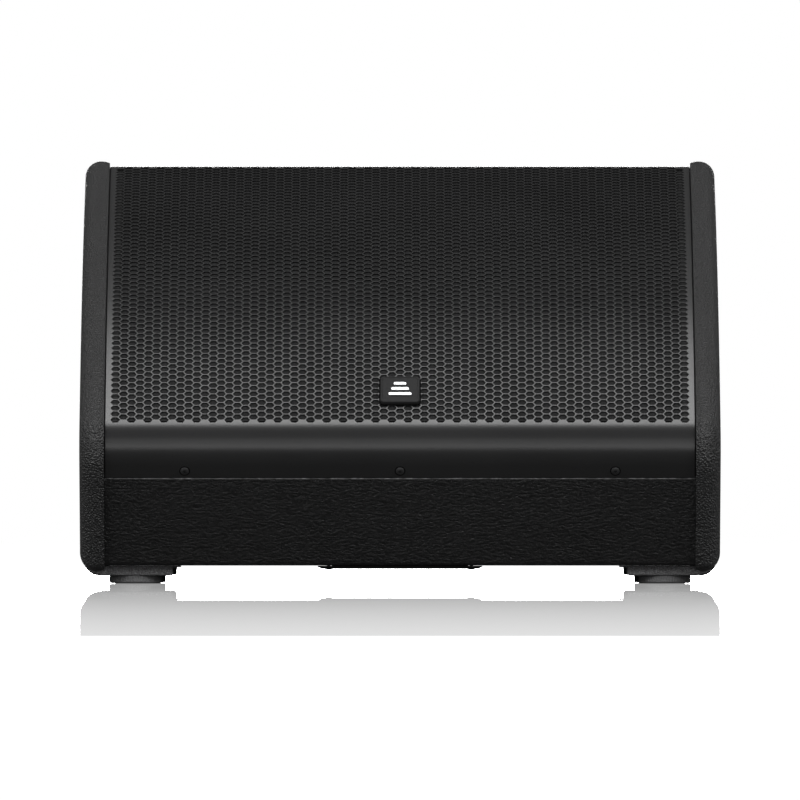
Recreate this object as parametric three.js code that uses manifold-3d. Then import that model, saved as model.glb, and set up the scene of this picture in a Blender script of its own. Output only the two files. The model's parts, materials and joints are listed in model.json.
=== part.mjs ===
// A powered stage monitor wedge: a plywood cabinet between two moulded end cheeks, a curved
// perforated grille, a coaxial driver on a sloping baffle, and an amplifier let into the rear.
// Units are millimetres. +X is right, +Y is away from the listener, +Z is up, and the origin is
// on the floor under the middle of the object.

import * as THREE from "three";
import { mergeVertices } from "three/addons/utils/BufferGeometryUtils.js";
import Module from "manifold-3d";

const wasm = await Module();
wasm.setup();

// ---------------------------------------------------------------- driving dimensions

// across the object
const WIDTH = 600;
const CHEEK_BAND = 23.5; // the cheek's rolled edge, seen from the front
const GAP = 0.3; // between pieces that touch
const BOARD_HALF = WIDTH / 2 - CHEEK_BAND; // half the width of everything between the cheeks

// the outline from the side: the line that the grille, the front panel and the rear panel follow
const BASE = 16.7; // underside of the bottom panel above the floor
const NOSE = { height: 126, radius: 32.5, run: 3 }; // the run is straight, above the bend
const UNDERCUT = 30; // the front panel's lean from vertical
const TILT = { nose: 39.4, middle: 28.5, top: 16.1 }; // the grille's slope at three places
const GRILLE_RADIUS = { lower: 1072, upper: 1583 };
const REAR = { bend: 12, lean: 4 };
const BOTTOM_ROUND = { front: 8.5, rear: 10 };
const CHEEK_PROUD = 5; // how far the cheeks stand outside that line

// sheets and boards
const GRILLE = { steel: 1.5, lipTop: 98.6, flange: 20 };
const FOAM = { gap: 1.9, thick: 5, side: 0.5 };
const FRONT_BOARD = { proud: 1, back: 17, rebate: 2.1, top: 108 };
const BOTTOM_BOARD = 15;
const REAR_BOARD = 15;
const SIDE_BOARD = { thick: 15, inset: 2.3 };
const BAFFLE = { thick: 18, below: 12 };
const RIB = { inner: 264, outer: 276.2, short: { foot: 2, top: 8 } };

// cheeks
const CHEEK = { web: 4, lip: 1.8, hollow: 6, round: 15, apexIn: 7.8, apexDrop: 1.4 };
const POCKET = { y: 325, z: 150, length: 150, mouth: 50, height: 70, depth: 40, wall: 3, lip: 10 };
const POCKET_CORNER = 14;
const FOOT = { x: 248, front: 92, rear: 500, radius: 24.75, height: 7.2, round: 2, chamfer: 1 };
const FOOT_BLOCK = { inner: 213, outer: 288, length: 52, bottom: 7.5, top: 16.2 };
const FOOT_FLANGE = { thick: 1.4, inward: 4, short: 8, back: 2 }; // against the block it stands on
const FOOT_SCREW = { hole: 2.9, shank: 2.5, head: 5.2, recess: 6.4, seat: 4.2, headTop: 1.4, rim: 1 };

// lip screws and badge
const LIP_SCREW = { spacing: 201.4, height: 105.2, head: 3.95, shank: 2, hole: 2.5, length: 12, rise: 1.4 };
// its middle is this far along the grille from the nose
const BADGE = { width: 36.7, length: 40, corner: 4, thick: 2.5, along: 43, proud: 0.6 };
// three bars, each narrower than the one below, on a thin backing
const EMBLEM = { bar: 4, end: 1.9, pitch: 8, widest: 22, narrower: 5, top: 1.1, back: [6, 18], backTop: 0.5 };

// the handle under the bottom
const HANDLE = { width: 154.6, length: 112, y: 125, flange: 2.9, cup: [122, 82], rise: 45, wall: 3, bar: 8 };
const HANDLE_CORNER = { flange: 20, shell: 15, cup: 12 };
const CUTOUT = { room: 1, corner: 16 }; // round the handle's cup, in the bottom panel

// driver, along its own axis from the baffle's outer face
const DRIVER = { flange: 195, cutout: 176, screws: 186, cone: 150, coil: 50, throat: 12.7 };
const DRIVER_SCREW = { head: 5, shank: 1.9, length: 18, rise: 3, pilot: 2.2, pilotDepth: 14, hole: 2.9 };
const MOTOR = { top: -92.3, plate: 10, plateRadius: 95, gap: 2.6, magnet: 24.7, back: 12 };
const MAGNET = { inner: 60, outer: 105 };
const POLE = { top: -90.3, clear: 1.6, backRadius: 98 };
const BASKET = {
  sheet: 3, // under the flange
  rim: { inner: 181, top: 6.3 },
  seat: { outer: 179, inner: 165, top: 3.3, foot: -2 }, // carries the surround
  shelf: { outer: 106, inner: 91, top: -60 }, // carries the spider
  foot: { outer: 101, inner: 62, top: -86 }, // stands on the motor
  window: { count: 6, near: 80, far: 160, half: 34, low: -58, high: -14 },
};
const CONE = { neck: 51.2, neckTop: -46, bend: [90, -26], rim: [141, -3], thick: 1.5, neckDepth: 4 };
const SPIDER = { inner: 51, first: 56, pitch: 6, waves: 5, high: -52.5, low: -56, thick: 1.5 };
const SPIDER_RIM = { inner: 86, outer: 103, top: -58.4, thick: 1.2 };
const SURROUND = { centre: 8, z: 3, roll: 8, sheet: 1.2, glue: 8, seat: 28, seatTop: 4.8, coneTop: -1.5 };
const COIL = { former: 0.5, wall: 0.6, wire: 1.8, top: -46, wireTop: -88, foot: -106 };
const TWEETER = { radius: 45, depth: 34, bore: 30, lip: 10, back: 28 };
const PORT = { x: 218, down: 210, radius: 32, wall: 3, length: 100, flange: 42, flare: 5, top: 3, bell: 4 };
const PORT_ROOM = 0.5; // round each tube, in the baffle

// amplifier tray in the rear panel, from its middle
const TRAY = { up: 170, width: 330, height: 190, pocket: [302, 162], depth: 40, wall: 2, flange: 2 };
const TRAY_CORNER = { pocket: 6, shell: 8 };
const TRAY_ROOM = 1; // round the tray, in the rear panel
const HOLE_ROOM = 0.6; // round each moving control, in the tray's floor
const FLOOR_FACE = -TRAY.depth + TRAY.wall; // the tray floor's outer surface
const SOCKET = { width: 26, height: 31, corner: 3, plate: 2.2, rim: 0.8, body: 11.8, back: 21, clear: 12.3 };
const BORE = { radius: 9.4, depth: 14 };
const JACK = { half: 6, low: -5, high: 6, depth: 13 }; // a network socket's recess
const LATCH = { half: 3.9, low: 11, high: 14.5, foot: 1.9, proud: 2, room: 0.4, slot: 2.4 };
const ROW = -46; // height of the socket row in the tray
const SOCKETS = { mains: -122, input: -35, link: 2, network: [47, 84] };
const ROCKER = { x: -80, width: 12.4, height: 18.4, thick: 5, low: 0.4, dip: -1.4, high: 3.2, proud: 1 };
const ROCKER_ROOM = 1.2; // above and below the rocker, which swings in its hole
const DISPLAY = { x: 95, y: 50, width: 52, height: 28, corner: 2, thick: 2 };
const ENCODER = { x: 78, y: 8, knob: 9, height: 12, cap: 2, edge: 1, clear: 3 };
const SHAFT = { radius: 3, foot: -8, top: 12 }; // the encoder's
const BUTTON = { x: 116, y: 8, radius: 4, proud: 3, depth: 6 };
const SINK = { x: -52, y: 38, width: 186, height: 78, base: 5, fin: 1.6, fins: 17, depth: 28 };
const BOARD = { x: 72, width: 130, height: 140, thick: 1.6, gap: 26, pillar: 3, inset: [5, 6] };
// what stands on each circuit board: x, y, width, height and rise
const AMPLIFIER_LUMPS = [[-30, 20, 40, 30, 18], [30, -20, 30, 60, 14]];
const SUPPLY_LUMPS = [[-20, 0, 50, 50, 22], [40, 30, 26, 26, 20]];
const THROUGH = 40; // a cutting tool's reach on each side of a board

// ---------------------------------------------------------------- materials

const finish = (color, roughness, metalness) =>
  new THREE.MeshStandardMaterial({ color, roughness, metalness });

const MATERIALS = {
  cheek: finish(0x2a2b2c, 0.62, 0),
  paint: finish(0x17181a, 0.8, 0),
  plywood: finish(0x8a6b45, 0.8, 0),
  steel: finish(0x1c1d1e, 0.45, 0.2),
  foam: finish(0x0c0c0d, 1, 0),
  screw: finish(0x141414, 0.4, 0.6),
  badge: finish(0x2c2e30, 0.35, 0.3),
  emblem: finish(0xd8dadc, 0.3, 0.6),
  rubber: finish(0x26272a, 0.85, 0),
  plastic: finish(0x17181a, 0.55, 0),
  castAlloy: finish(0x3a3c3e, 0.5, 0.7),
  platedSteel: finish(0x8f9194, 0.35, 0.9),
  ferrite: finish(0x2b2b2d, 0.7, 0.1),
  paper: finish(0x1a1a1b, 0.9, 0),
  cloth: finish(0x6b5a35, 0.9, 0),
  copper: finish(0xa8653a, 0.4, 0.8),
  titanium: finish(0x9a9c9f, 0.3, 0.8),
  aluminium: finish(0x1b1c1e, 0.45, 0.6),
  circuit: finish(0x1f4a2c, 0.6, 0),
  window: finish(0x10161c, 0.1, 0),
  nickel: finish(0xa9abad, 0.3, 0.9),
  mainsBlue: finish(0x2f5f9a, 0.5, 0),
  knob: finish(0x1d1d1f, 0.5, 0),
};

// ---------------------------------------------------------------- small geometry helpers

const radians = THREE.MathUtils.degToRad;
const point = (y, z) => new THREE.Vector2(y, z);
const direction = (degrees) => point(Math.cos(radians(degrees)), Math.sin(radians(degrees)));

function solid(geometry) {
  const bare = geometry.index ? geometry.toNonIndexed() : geometry.clone();
  bare.deleteAttribute("normal");
  bare.deleteAttribute("uv");
  const merged = mergeVertices(bare, 1e-4);
  const corners = [];
  for (let i = 0; i < merged.index.count; i += 3) {
    const [a, b, c] = [0, 1, 2].map((k) => merged.index.getX(i + k));
    if (a !== b && b !== c && c !== a) corners.push(a, b, c);
  }
  const vertProperties = Float32Array.from(merged.attributes.position.array);
  const triVerts = Uint32Array.from(corners);
  return new wasm.Manifold(new wasm.Mesh({ numProp: 3, vertProperties, triVerts }));
}

function surface(manifold) {
  const mesh = manifold.getMesh();
  const geometry = new THREE.BufferGeometry();
  geometry.setAttribute("position", new THREE.BufferAttribute(mesh.vertProperties, 3));
  geometry.setIndex(new THREE.BufferAttribute(mesh.triVerts, 1));
  geometry.computeVertexNormals();
  return geometry;
}

const joined = (geometries) => surface(geometries.map(solid).reduce((a, b) => a.add(b)));

function cut(base, tools) {
  return surface(tools.map(solid).reduce((body, tool) => body.subtract(tool), solid(base)));
}

// a section drawn in (y, z), drawn out from x0 to x1
function alongX(section, x0, x1) {
  const geometry = new THREE.ExtrudeGeometry(section, {
    depth: x1 - x0,
    bevelEnabled: false,
    curveSegments: 3,
  });
  const turn = new THREE.Matrix4().makeBasis(
    new THREE.Vector3(0, 1, 0),
    new THREE.Vector3(0, 0, 1),
    new THREE.Vector3(1, 0, 0),
  );
  return geometry.applyMatrix4(turn).translate(x0, 0, 0);
}

// an outline drawn in (x, y), drawn out upwards from z0 to z1
function alongZ(outline, z0, z1) {
  const settings = { depth: z1 - z0, bevelEnabled: false, curveSegments: 2 };
  return new THREE.ExtrudeGeometry(outline, settings).translate(0, 0, z0);
}

function roundedRectangle(width, height, radius, x = 0, y = 0, kind = THREE.Shape) {
  const [w, h, r] = [width / 2, height / 2, radius];
  const outline = new kind();
  outline.absarc(x + w - r, y + h - r, r, 0, Math.PI / 2);
  outline.absarc(x - w + r, y + h - r, r, Math.PI / 2, Math.PI);
  outline.absarc(x - w + r, y - h + r, r, Math.PI, 1.5 * Math.PI);
  outline.absarc(x + w - r, y - h + r, r, 1.5 * Math.PI, 2 * Math.PI);
  outline.closePath();
  return outline;
}

// an upright cylinder from z0 to z1
function post(radius, z0, z1, x = 0, y = 0, sides = 16) {
  const cylinder = new THREE.CylinderGeometry(radius, radius, z1 - z0, sides);
  return cylinder.rotateX(Math.PI / 2).translate(x, y, (z0 + z1) / 2);
}

function box(x0, x1, y0, y1, z0, z1) {
  const geometry = new THREE.BoxGeometry(x1 - x0, y1 - y0, z1 - z0);
  return geometry.translate((x0 + x1) / 2, (y0 + y1) / 2, (z0 + z1) / 2);
}

// a turned piece from (radius, z) pairs; a profile off the axis is closed on itself
function turned(profile, sides = 24) {
  const points = profile.map(([r, z]) => point(r, z));
  if (points[0].x > 0) points.push(points[0].clone());
  let area = 0;
  points.forEach((p, i) => {
    area += p.cross(points[(i + 1) % points.length]);
  });
  if (area < 0) points.reverse();
  return new THREE.LatheGeometry(points, sides).rotateX(Math.PI / 2);
}

// ---------------------------------------------------------------- the side outline

// Walks clockwise from a point, over straight runs and arcs, and stays a given offset outside.
function trace(start, heading, legs, offset = 0) {
  let h = radians(heading);
  const out = () => point(-Math.sin(h), Math.cos(h));
  let here = start.clone().addScaledVector(out(), offset);
  const points = [here.clone()];
  for (const leg of legs) {
    if (leg.run !== undefined) {
      here.addScaledVector(point(Math.cos(h), Math.sin(h)), leg.run);
      points.push(here.clone());
      continue;
    }
    const radius = leg.radius + offset;
    const centre = here.clone().addScaledVector(out(), -radius);
    for (let i = 0; i < leg.steps; i += 1) {
      h -= radians(leg.turn) / leg.steps;
      here = centre.clone().addScaledVector(out(), radius);
      points.push(here.clone());
    }
  }
  return points;
}

const last = (points) => points[points.length - 1];

// where the line from p along d meets the line from q along e
function meet(p, d, q, e) {
  const t = q.clone().sub(p).cross(e) / d.cross(e);
  return p.clone().addScaledVector(d, t);
}

const FRONT_HEADING = 90 + UNDERCUT;
const REAR_HEADING = -(90 - REAR.lean);
const frontUp = direction(FRONT_HEADING);
const frontOut = direction(FRONT_HEADING + 90);
const rearUp = direction(REAR_HEADING + 180);
const rearOut = direction(REAR_HEADING + 90);

// the nose's lower end, where the front panel's plane begins
const noseCentre = point(NOSE.radius, NOSE.height);
const noseFoot = noseCentre.clone().addScaledVector(frontOut, NOSE.radius);
const frontRun = (noseFoot.y - BASE) / frontUp.y;
const frontCorner = noseFoot.clone().addScaledVector(frontUp, -frontRun);

const NOSE_ARC = { radius: NOSE.radius, turn: FRONT_HEADING - TILT.nose, steps: 6 };
const LOWER_ARC = { radius: GRILLE_RADIUS.lower, turn: TILT.nose - TILT.middle, steps: 4 };
const UPPER_ARC = { radius: GRILLE_RADIUS.upper, turn: TILT.middle - TILT.top, steps: 5 };
const REAR_ARC = { radius: REAR.bend, turn: TILT.top - REAR_HEADING, steps: 5 };
const NOSE_LEGS = [NOSE_ARC, { run: NOSE.run }];
const OVER_THE_TOP = [...NOSE_LEGS, LOWER_ARC, UPPER_ARC, REAR_ARC];

const rearTop = last(trace(noseFoot, FRONT_HEADING, OVER_THE_TOP));
const rearRun = (rearTop.y - BASE) / rearUp.y;
const rearCorner = rearTop.clone().addScaledVector(rearUp, -rearRun);

const frontTangent = BOTTOM_ROUND.front * Math.tan(radians((180 - FRONT_HEADING) / 2));
const rearTangent = BOTTOM_ROUND.rear * Math.tan(radians((180 + REAR_HEADING) / 2));

// the whole outline, a given distance outside the line
function outline(offset) {
  const start = point(frontCorner.x + frontTangent, BASE);
  return trace(start, 180, [
    { radius: BOTTOM_ROUND.front, turn: 180 - FRONT_HEADING, steps: 3 },
    { run: frontRun - frontTangent },
    ...OVER_THE_TOP,
    { run: rearRun - rearTangent },
    { radius: BOTTOM_ROUND.rear, turn: 180 + REAR_HEADING, steps: 4 },
  ], offset);
}

const extents = outline(CHEEK_PROUD).map((p) => p.x);
const MIDDLE = (Math.min(...extents) + Math.max(...extents)) / 2;

// points on the front and rear faces: s up the face from its foot, n out of it
const onFront = (s, n) =>
  frontCorner.clone().addScaledVector(frontUp, s).addScaledVector(frontOut, n);
const onRear = (s, n) =>
  rearCorner.clone().addScaledVector(rearUp, s).addScaledVector(rearOut, n);

// the baffle runs parallel to the grille's chord
const grilleFoot = last(trace(noseFoot, FRONT_HEADING, NOSE_LEGS));
const grilleTop = last(trace(noseFoot, FRONT_HEADING, [...NOSE_LEGS, LOWER_ARC, UPPER_ARC]));
const chord = grilleTop.clone().sub(grilleFoot);
const SLOPE = chord.angle();
const baffleAlong = chord.clone().normalize();
const baffleOut = point(-baffleAlong.y, baffleAlong.x);
const onBaffle = (s, n) =>
  grilleFoot.clone().addScaledVector(baffleAlong, s).addScaledVector(baffleOut, n - BAFFLE.below);
const driverCentre = onBaffle(chord.length() / 2, 0);

// ---------------------------------------------------------------- assembly

const wedge = new THREE.Group();
const cabinet = new THREE.Group(); // side-view coordinates, moved so that the origin is central
cabinet.position.y = -MIDDLE;
wedge.add(cabinet);

function place(parent, name, geometry, material, x = 0, y = 0, z = 0) {
  const mesh = new THREE.Mesh(geometry, material);
  mesh.name = name;
  mesh.position.set(x, y, z);
  parent.add(mesh);
  return mesh;
}

const SIDES = [["left", -1], ["right", 1]];

// ---------------------------------------------------------------- cabinet boards

function frontPanel() {
  const { proud, back, rebate, top } = FRONT_BOARD;
  const lip = (GRILLE.lipTop - BASE) / frontUp.y;
  const inner = meet(onFront(0, -back), frontUp, point(0, BASE), point(1, 0));
  const corner = meet(onFront(0, proud), frontUp, point(0, BASE), point(1, 0));
  const crown = meet(onFront(0, -back), frontUp, onBaffle(0, 0), baffleAlong);
  const section = new THREE.Shape();
  section.moveTo(inner.x, inner.y);
  section.lineTo(crown.x, crown.y);
  for (const p of [onFront(top, -rebate), onFront(lip, -rebate), onFront(lip, proud)]) {
    section.lineTo(p.x, p.y);
  }
  const above = corner.clone().addScaledVector(frontUp, BOTTOM_ROUND.front);
  section.lineTo(above.x, above.y);
  section.quadraticCurveTo(corner.x, corner.y, corner.x + BOTTOM_ROUND.front, BASE);
  const board = alongX(section, -BOARD_HALF, BOARD_HALF);
  return cut(board, [-1, 0, 1].map(lipScrewSpace));
}

// a cylinder square to the front face, at one of the three lip screws
function lipScrewSpace(side) {
  const at = onFront((LIP_SCREW.height - BASE) / frontUp.y, 0);
  const cylinder = new THREE.CylinderGeometry(LIP_SCREW.hole, LIP_SCREW.hole, THROUGH, 12);
  return cylinder.rotateX(radians(UNDERCUT)).translate(side * LIP_SCREW.spacing, at.x, at.y);
}

function bottomPanel() {
  const level = point(1, 0);
  const corners = [BASE, BASE + BOTTOM_BOARD].map((z) => [
    meet(onFront(0, -FRONT_BOARD.back - GAP), frontUp, point(0, z), level),
    meet(onRear(0, -REAR_BOARD - GAP), rearUp, point(0, z), level),
  ]);
  const section = new THREE.Shape([corners[0][0], corners[0][1], corners[1][1], corners[1][0]]);
  const [w, l] = HANDLE.cup.map((size) => size + 2 * (HANDLE.wall + CUTOUT.room));
  const mouth = alongZ(roundedRectangle(w, l, CUTOUT.corner, 0, HANDLE.y), 0, THROUGH);
  return cut(alongX(section, -BOARD_HALF, BOARD_HALF), [mouth]);
}

function rearPanel() {
  const flange = rearRun - GRILLE.flange - GAP;
  const section = new THREE.Shape([
    meet(onRear(0, 0), rearUp, point(0, BASE), point(1, 0)),
    onRear(flange, 0),
    onRear(flange, -FRONT_BOARD.rebate),
    onRear(rearRun, -FRONT_BOARD.rebate),
    onRear(rearRun, -REAR_BOARD),
    meet(onRear(0, -REAR_BOARD), rearUp, point(0, BASE), point(1, 0)),
  ]);
  const [w, h] = TRAY.pocket.map((size) => size + 2 * (TRAY.wall + TRAY_ROOM));
  const hole = alongZ(roundedRectangle(w, h, TRAY_CORNER.shell), -THROUGH, THROUGH);
  return cut(alongX(section, -BOARD_HALF, BOARD_HALF), [hole.applyMatrix4(rearFrame())]);
}

function baffle() {
  const ends = [0, -BAFFLE.thick].map((n) => [
    meet(onFront(0, -FRONT_BOARD.back - GAP), frontUp, onBaffle(0, n), baffleAlong),
    meet(onRear(0, -REAR_BOARD - GAP), rearUp, onBaffle(0, n), baffleAlong),
  ]);
  const section = new THREE.Shape([ends[0][0], ends[1][0], ends[1][1], ends[0][1]]);
  const holes = [post(DRIVER.cutout, -THROUGH, THROUGH, 0, 0, 24)];
  for (const side of [-1, 1]) {
    const radius = PORT.radius + PORT.wall + PORT_ROOM;
    holes.push(post(radius, -THROUGH, THROUGH, side * PORT.x, -PORT.down, 24));
  }
  for (const angle of SCREW_ANGLES) {
    const [x, y] = onScrewCircle(angle);
    holes.push(post(DRIVER_SCREW.pilot, -DRIVER_SCREW.pilotDepth, THROUGH, x, y, 8));
  }
  return cut(alongX(section, -BOARD_HALF, BOARD_HALF), holes.map((h) => h.applyMatrix4(driverFrame())));
}

function sidePanel(side) {
  const section = new THREE.Shape(outline(-SIDE_BOARD.inset));
  const { y, z, length, height, wall } = POCKET;
  const reach = wall + 5 * GAP;
  section.holes.push(roundedRectangle(
    length + 2 * reach, height + 2 * reach, POCKET_CORNER + 2, y, z + height / 2, THREE.Path,
  ));
  const inner = BOARD_HALF + GAP;
  const [x0, x1] = [inner, inner + SIDE_BOARD.thick].map((x) => side * x).sort((a, b) => a - b);
  return alongX(section, x0, x1);
}

function grilleRib(side) {
  const top = trace(grilleFoot, TILT.nose, [LOWER_ARC, UPPER_ARC], -FOAM.gap);
  const length = chord.length();
  const { foot, top: crown } = RIB.short;
  const section = new THREE.Shape([...top, onBaffle(length - crown, GAP), onBaffle(foot, GAP)]);
  const [x0, x1] = [RIB.inner, RIB.outer].map((x) => side * x).sort((a, b) => a - b);
  return alongX(section, x0, x1);
}

// ---------------------------------------------------------------- grille, foam and badge

function grilleSheet() {
  const lipRun = frontRun - (GRILLE.lipTop + GAP - BASE) / frontUp.y;
  const start = noseFoot.clone().addScaledVector(frontUp, -lipRun);
  const legs = [{ run: lipRun }, ...OVER_THE_TOP, { run: GRILLE.flange }];
  const outer = trace(start, FRONT_HEADING, legs);
  const inner = trace(start, FRONT_HEADING, legs, -GRILLE.steel).reverse();
  const sheet = alongX(new THREE.Shape([...outer, ...inner]), GAP - BOARD_HALF, BOARD_HALF - GAP);
  return cut(sheet, [-1, 0, 1].map(lipScrewSpace));
}

function foamSheet() {
  const legs = [LOWER_ARC, UPPER_ARC];
  const outer = trace(grilleFoot, TILT.nose, legs, -FOAM.gap);
  const inner = trace(grilleFoot, TILT.nose, legs, -FOAM.gap - FOAM.thick).reverse();
  const half = RIB.inner - FOAM.side;
  return alongX(new THREE.Shape([...outer, ...inner]), -half, half);
}

// a dark machine screw: domed head above z = 0 and a shank below it
function screw({ head, shank, length, rise }) {
  return turned([
    [0, rise], [head * 0.6, rise * 0.8], [head, 0.15], [head, 0], [shank, 0], [shank, -length],
    [0, -length],
  ], 12);
}

function badgePlate() {
  return alongZ(roundedRectangle(BADGE.width, BADGE.length, BADGE.corner), 0, BADGE.thick);
}

function emblem() {
  const { bar, end, pitch, widest, narrower, top, back, backTop } = EMBLEM;
  const bars = [-1, 0, 1].map((step, i) => {
    const outline = roundedRectangle(widest - narrower * i, bar, end, 0, step * pitch);
    return alongZ(outline, GAP, top);
  });
  return joined([alongZ(roundedRectangle(...back, 1), 0, backTop), ...bars]);
}

// ---------------------------------------------------------------- cheeks and feet

// Rings of (x, offset) from the hollow's floor, round the rim and over the rolled edge.
function cheekRings() {
  const half = WIDTH / 2;
  const inner = BOARD_HALF + GAP;
  const boardFace = inner + SIDE_BOARD.thick + GAP;
  const rings = [
    [half - CHEEK.web, -CHEEK.hollow],
    [boardFace, -CHEEK.hollow],
    [boardFace, -CHEEK.lip],
    [inner, -CHEEK.lip],
    [inner, CHEEK_PROUD - CHEEK.apexDrop],
    [inner + CHEEK.apexIn / 2, CHEEK_PROUD - CHEEK.apexDrop / 4],
  ];
  const steps = 5;
  for (let i = 0; i <= steps; i += 1) {
    const a = (i / steps) * (Math.PI / 2);
    rings.push([
      half - CHEEK.round * (1 - Math.sin(a)),
      CHEEK_PROUD - CHEEK.round * (1 - Math.cos(a)),
    ]);
  }
  return rings;
}

function cheekShell(side) {
  const rings = cheekRings().map(([x, offset]) => ({ x, points: outline(offset) }));
  const count = rings[0].points.length;
  const positions = [];
  const index = [];
  for (const { x, points } of rings) {
    for (const p of points) positions.push(side * x, p.x, p.y);
  }
  const triangle = (a, b, c) => (side > 0 ? index.push(a, c, b) : index.push(a, b, c));
  for (let r = 0; r + 1 < rings.length; r += 1) {
    for (let i = 0; i < count; i += 1) {
      const j = (i + 1) % count;
      const [a, b, c, d] = [r * count + i, r * count + j, (r + 1) * count + j, (r + 1) * count + i];
      triangle(a, b, c);
      triangle(a, c, d);
    }
  }
  const face = THREE.ShapeUtils.triangulateShape(rings[0].points, []);
  const lastRing = (rings.length - 1) * count;
  for (const [a, b, c] of face) {
    triangle(a, b, c);
    triangle(lastRing + a, lastRing + c, lastRing + b);
  }
  const geometry = new THREE.BufferGeometry();
  geometry.setAttribute("position", new THREE.Float32BufferAttribute(positions, 3));
  geometry.setIndex(index);
  return geometry;
}

function sided(side, x0, x1, y0, y1, z0, z1) {
  return side > 0 ? box(x0, x1, y0, y1, z0, z1) : box(-x1, -x0, y0, y1, z0, z1);
}

// a rounded slab standing across x, for the hand pocket
function pocketSlab(side, x0, x1, grow, z0, z1) {
  const { y, length } = POCKET;
  const [l, h, corner] = [length + 2 * grow, z1 - z0 + 2 * grow, POCKET_CORNER + grow];
  const slab = roundedRectangle(l, h, corner, y, (z0 + z1) / 2);
  return side > 0 ? alongX(slab, x0, x1) : alongX(slab, -x1, -x0);
}

function cheek(side) {
  const half = WIDTH / 2;
  const { z, mouth, height, depth, wall, lip } = POCKET;
  const back = half - depth;
  let body = solid(cheekShell(side));
  body = body.add(solid(pocketSlab(side, back - wall, half - 1, wall, z, z + height)));
  body = body.subtract(solid(pocketSlab(side, back, half - lip, 0, z, z + height)));
  body = body.subtract(solid(pocketSlab(side, back, half + 1, 0, z, z + mouth)));
  const { inner, outer, length, bottom, top } = FOOT_BLOCK;
  const { thick, inward, short, back: shift } = FOOT_FLANGE;
  for (const y of [FOOT.front, FOOT.rear]) {
    const [y0, y1] = [y - length / 2, y + length / 2];
    body = body.add(solid(sided(side, inner, outer, y0, y1, bottom, top)));
    const flange = sided(side, inner - inward, outer - short, y0 + shift, y1 + shift, top - thick, top);
    body = body.add(solid(flange));
    body = body.subtract(solid(post(FOOT_SCREW.hole, 0, BASE + 1, side * FOOT.x, y, 12)));
  }
  return surface(body);
}

function rubberFoot() {
  const { radius, height, round, chamfer } = FOOT;
  const { hole, recess, seat } = FOOT_SCREW;
  const knee = round * (1 - Math.SQRT1_2);
  return turned([
    [hole, height], [radius - chamfer, height], [radius, height - chamfer], [radius, round],
    [radius - knee, knee], [radius - round, 0], [recess, 0], [recess, seat], [hole, seat],
  ], 20);
}

function footScrew() {
  const { shank, head, seat, headTop, rim } = FOOT_SCREW;
  const tip = FOOT_BLOCK.top - GAP;
  return turned([
    [0, headTop], [head * 0.7, headTop], [head, headTop + rim], [head, seat - GAP],
    [shank, seat - GAP], [shank, tip], [0, tip],
  ], 12);
}

// ---------------------------------------------------------------- handle under the bottom

function bottomHandle() {
  const { width, length, y, flange, cup, rise, wall, bar } = HANDLE;
  const top = BASE - GAP;
  const corner = HANDLE_CORNER;
  const plate = alongZ(roundedRectangle(width, length, corner.flange, 0, y), top - flange, top);
  const outer = roundedRectangle(cup[0] + 2 * wall, cup[1] + 2 * wall, corner.shell, 0, y);
  const hollow = alongZ(roundedRectangle(cup[0], cup[1], corner.cup, 0, y), 0, top + rise - wall);
  const shell = solid(plate).add(solid(alongZ(outer, top - 1, top + rise))).subtract(solid(hollow));
  const grip = new THREE.CylinderGeometry(bar, bar, cup[0] + wall, 16).rotateZ(Math.PI / 2);
  return surface(shell.add(solid(grip.translate(0, y, top + bar))));
}

// ---------------------------------------------------------------- coaxial driver

const SCREW_ANGLES = [45, 135, 225, 315];
const onScrewCircle = (angle) => {
  const at = direction(angle).multiplyScalar(DRIVER.screws);
  return [at.x, at.y];
};

function driverFrame() {
  return new THREE.Matrix4().makeRotationX(SLOPE).setPosition(0, driverCentre.x, driverCentre.y);
}

function basket() {
  const { flange, cutout } = DRIVER;
  const { sheet, rim, seat, shelf, foot, window: opening } = BASKET;
  const base = MOTOR.top + GAP;
  const wall = turned([
    [flange, GAP], [flange, rim.top], [rim.inner, rim.top], [seat.outer, seat.top],
    [seat.inner, seat.top], [seat.inner, seat.foot], [shelf.outer, shelf.top],
    [shelf.inner, shelf.top], [shelf.inner, foot.top], [foot.inner, foot.top], [foot.inner, base],
    [foot.outer, base], [foot.outer, shelf.top - 4], [shelf.outer + 7, shelf.top],
    [cutout - 5, -sheet], [cutout - 1, -sheet], [cutout - 1, GAP],
  ]);
  const cuts = [];
  for (let i = 0; i < opening.count; i += 1) {
    const { near, far, half, low, high } = opening;
    const turn = radians((i + 0.5) * (360 / opening.count));
    cuts.push(box(near, far, -half, half, low, high).rotateZ(turn));
  }
  for (const angle of SCREW_ANGLES) {
    const [x, y] = onScrewCircle(angle);
    cuts.push(post(DRIVER_SCREW.hole, seat.foot, rim.top + 2, x, y, 10));
  }
  return cut(wall, cuts);
}

// a half roll between the cone's rim and the basket's seat
function surround() {
  const { cone } = DRIVER;
  const { centre, z, roll, sheet, glue, seat, seatTop, coneTop } = SURROUND;
  const arc = (radius) => [150, 120, 90, 60, 30].map((angle) => {
    const at = direction(angle).multiplyScalar(radius);
    return [cone + centre + at.x, z + at.y];
  });
  const outer = cone + centre + roll;
  return turned([
    [cone - glue, coneTop], [cone, coneTop], ...arc(roll), [outer, seatTop], [cone + seat, seatTop],
    [cone + seat, seatTop - sheet], [outer - 0.8, seatTop - sheet], ...arc(roll - sheet).reverse(),
    [cone + sheet, coneTop - sheet], [cone - glue, coneTop - sheet],
  ]);
}

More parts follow.
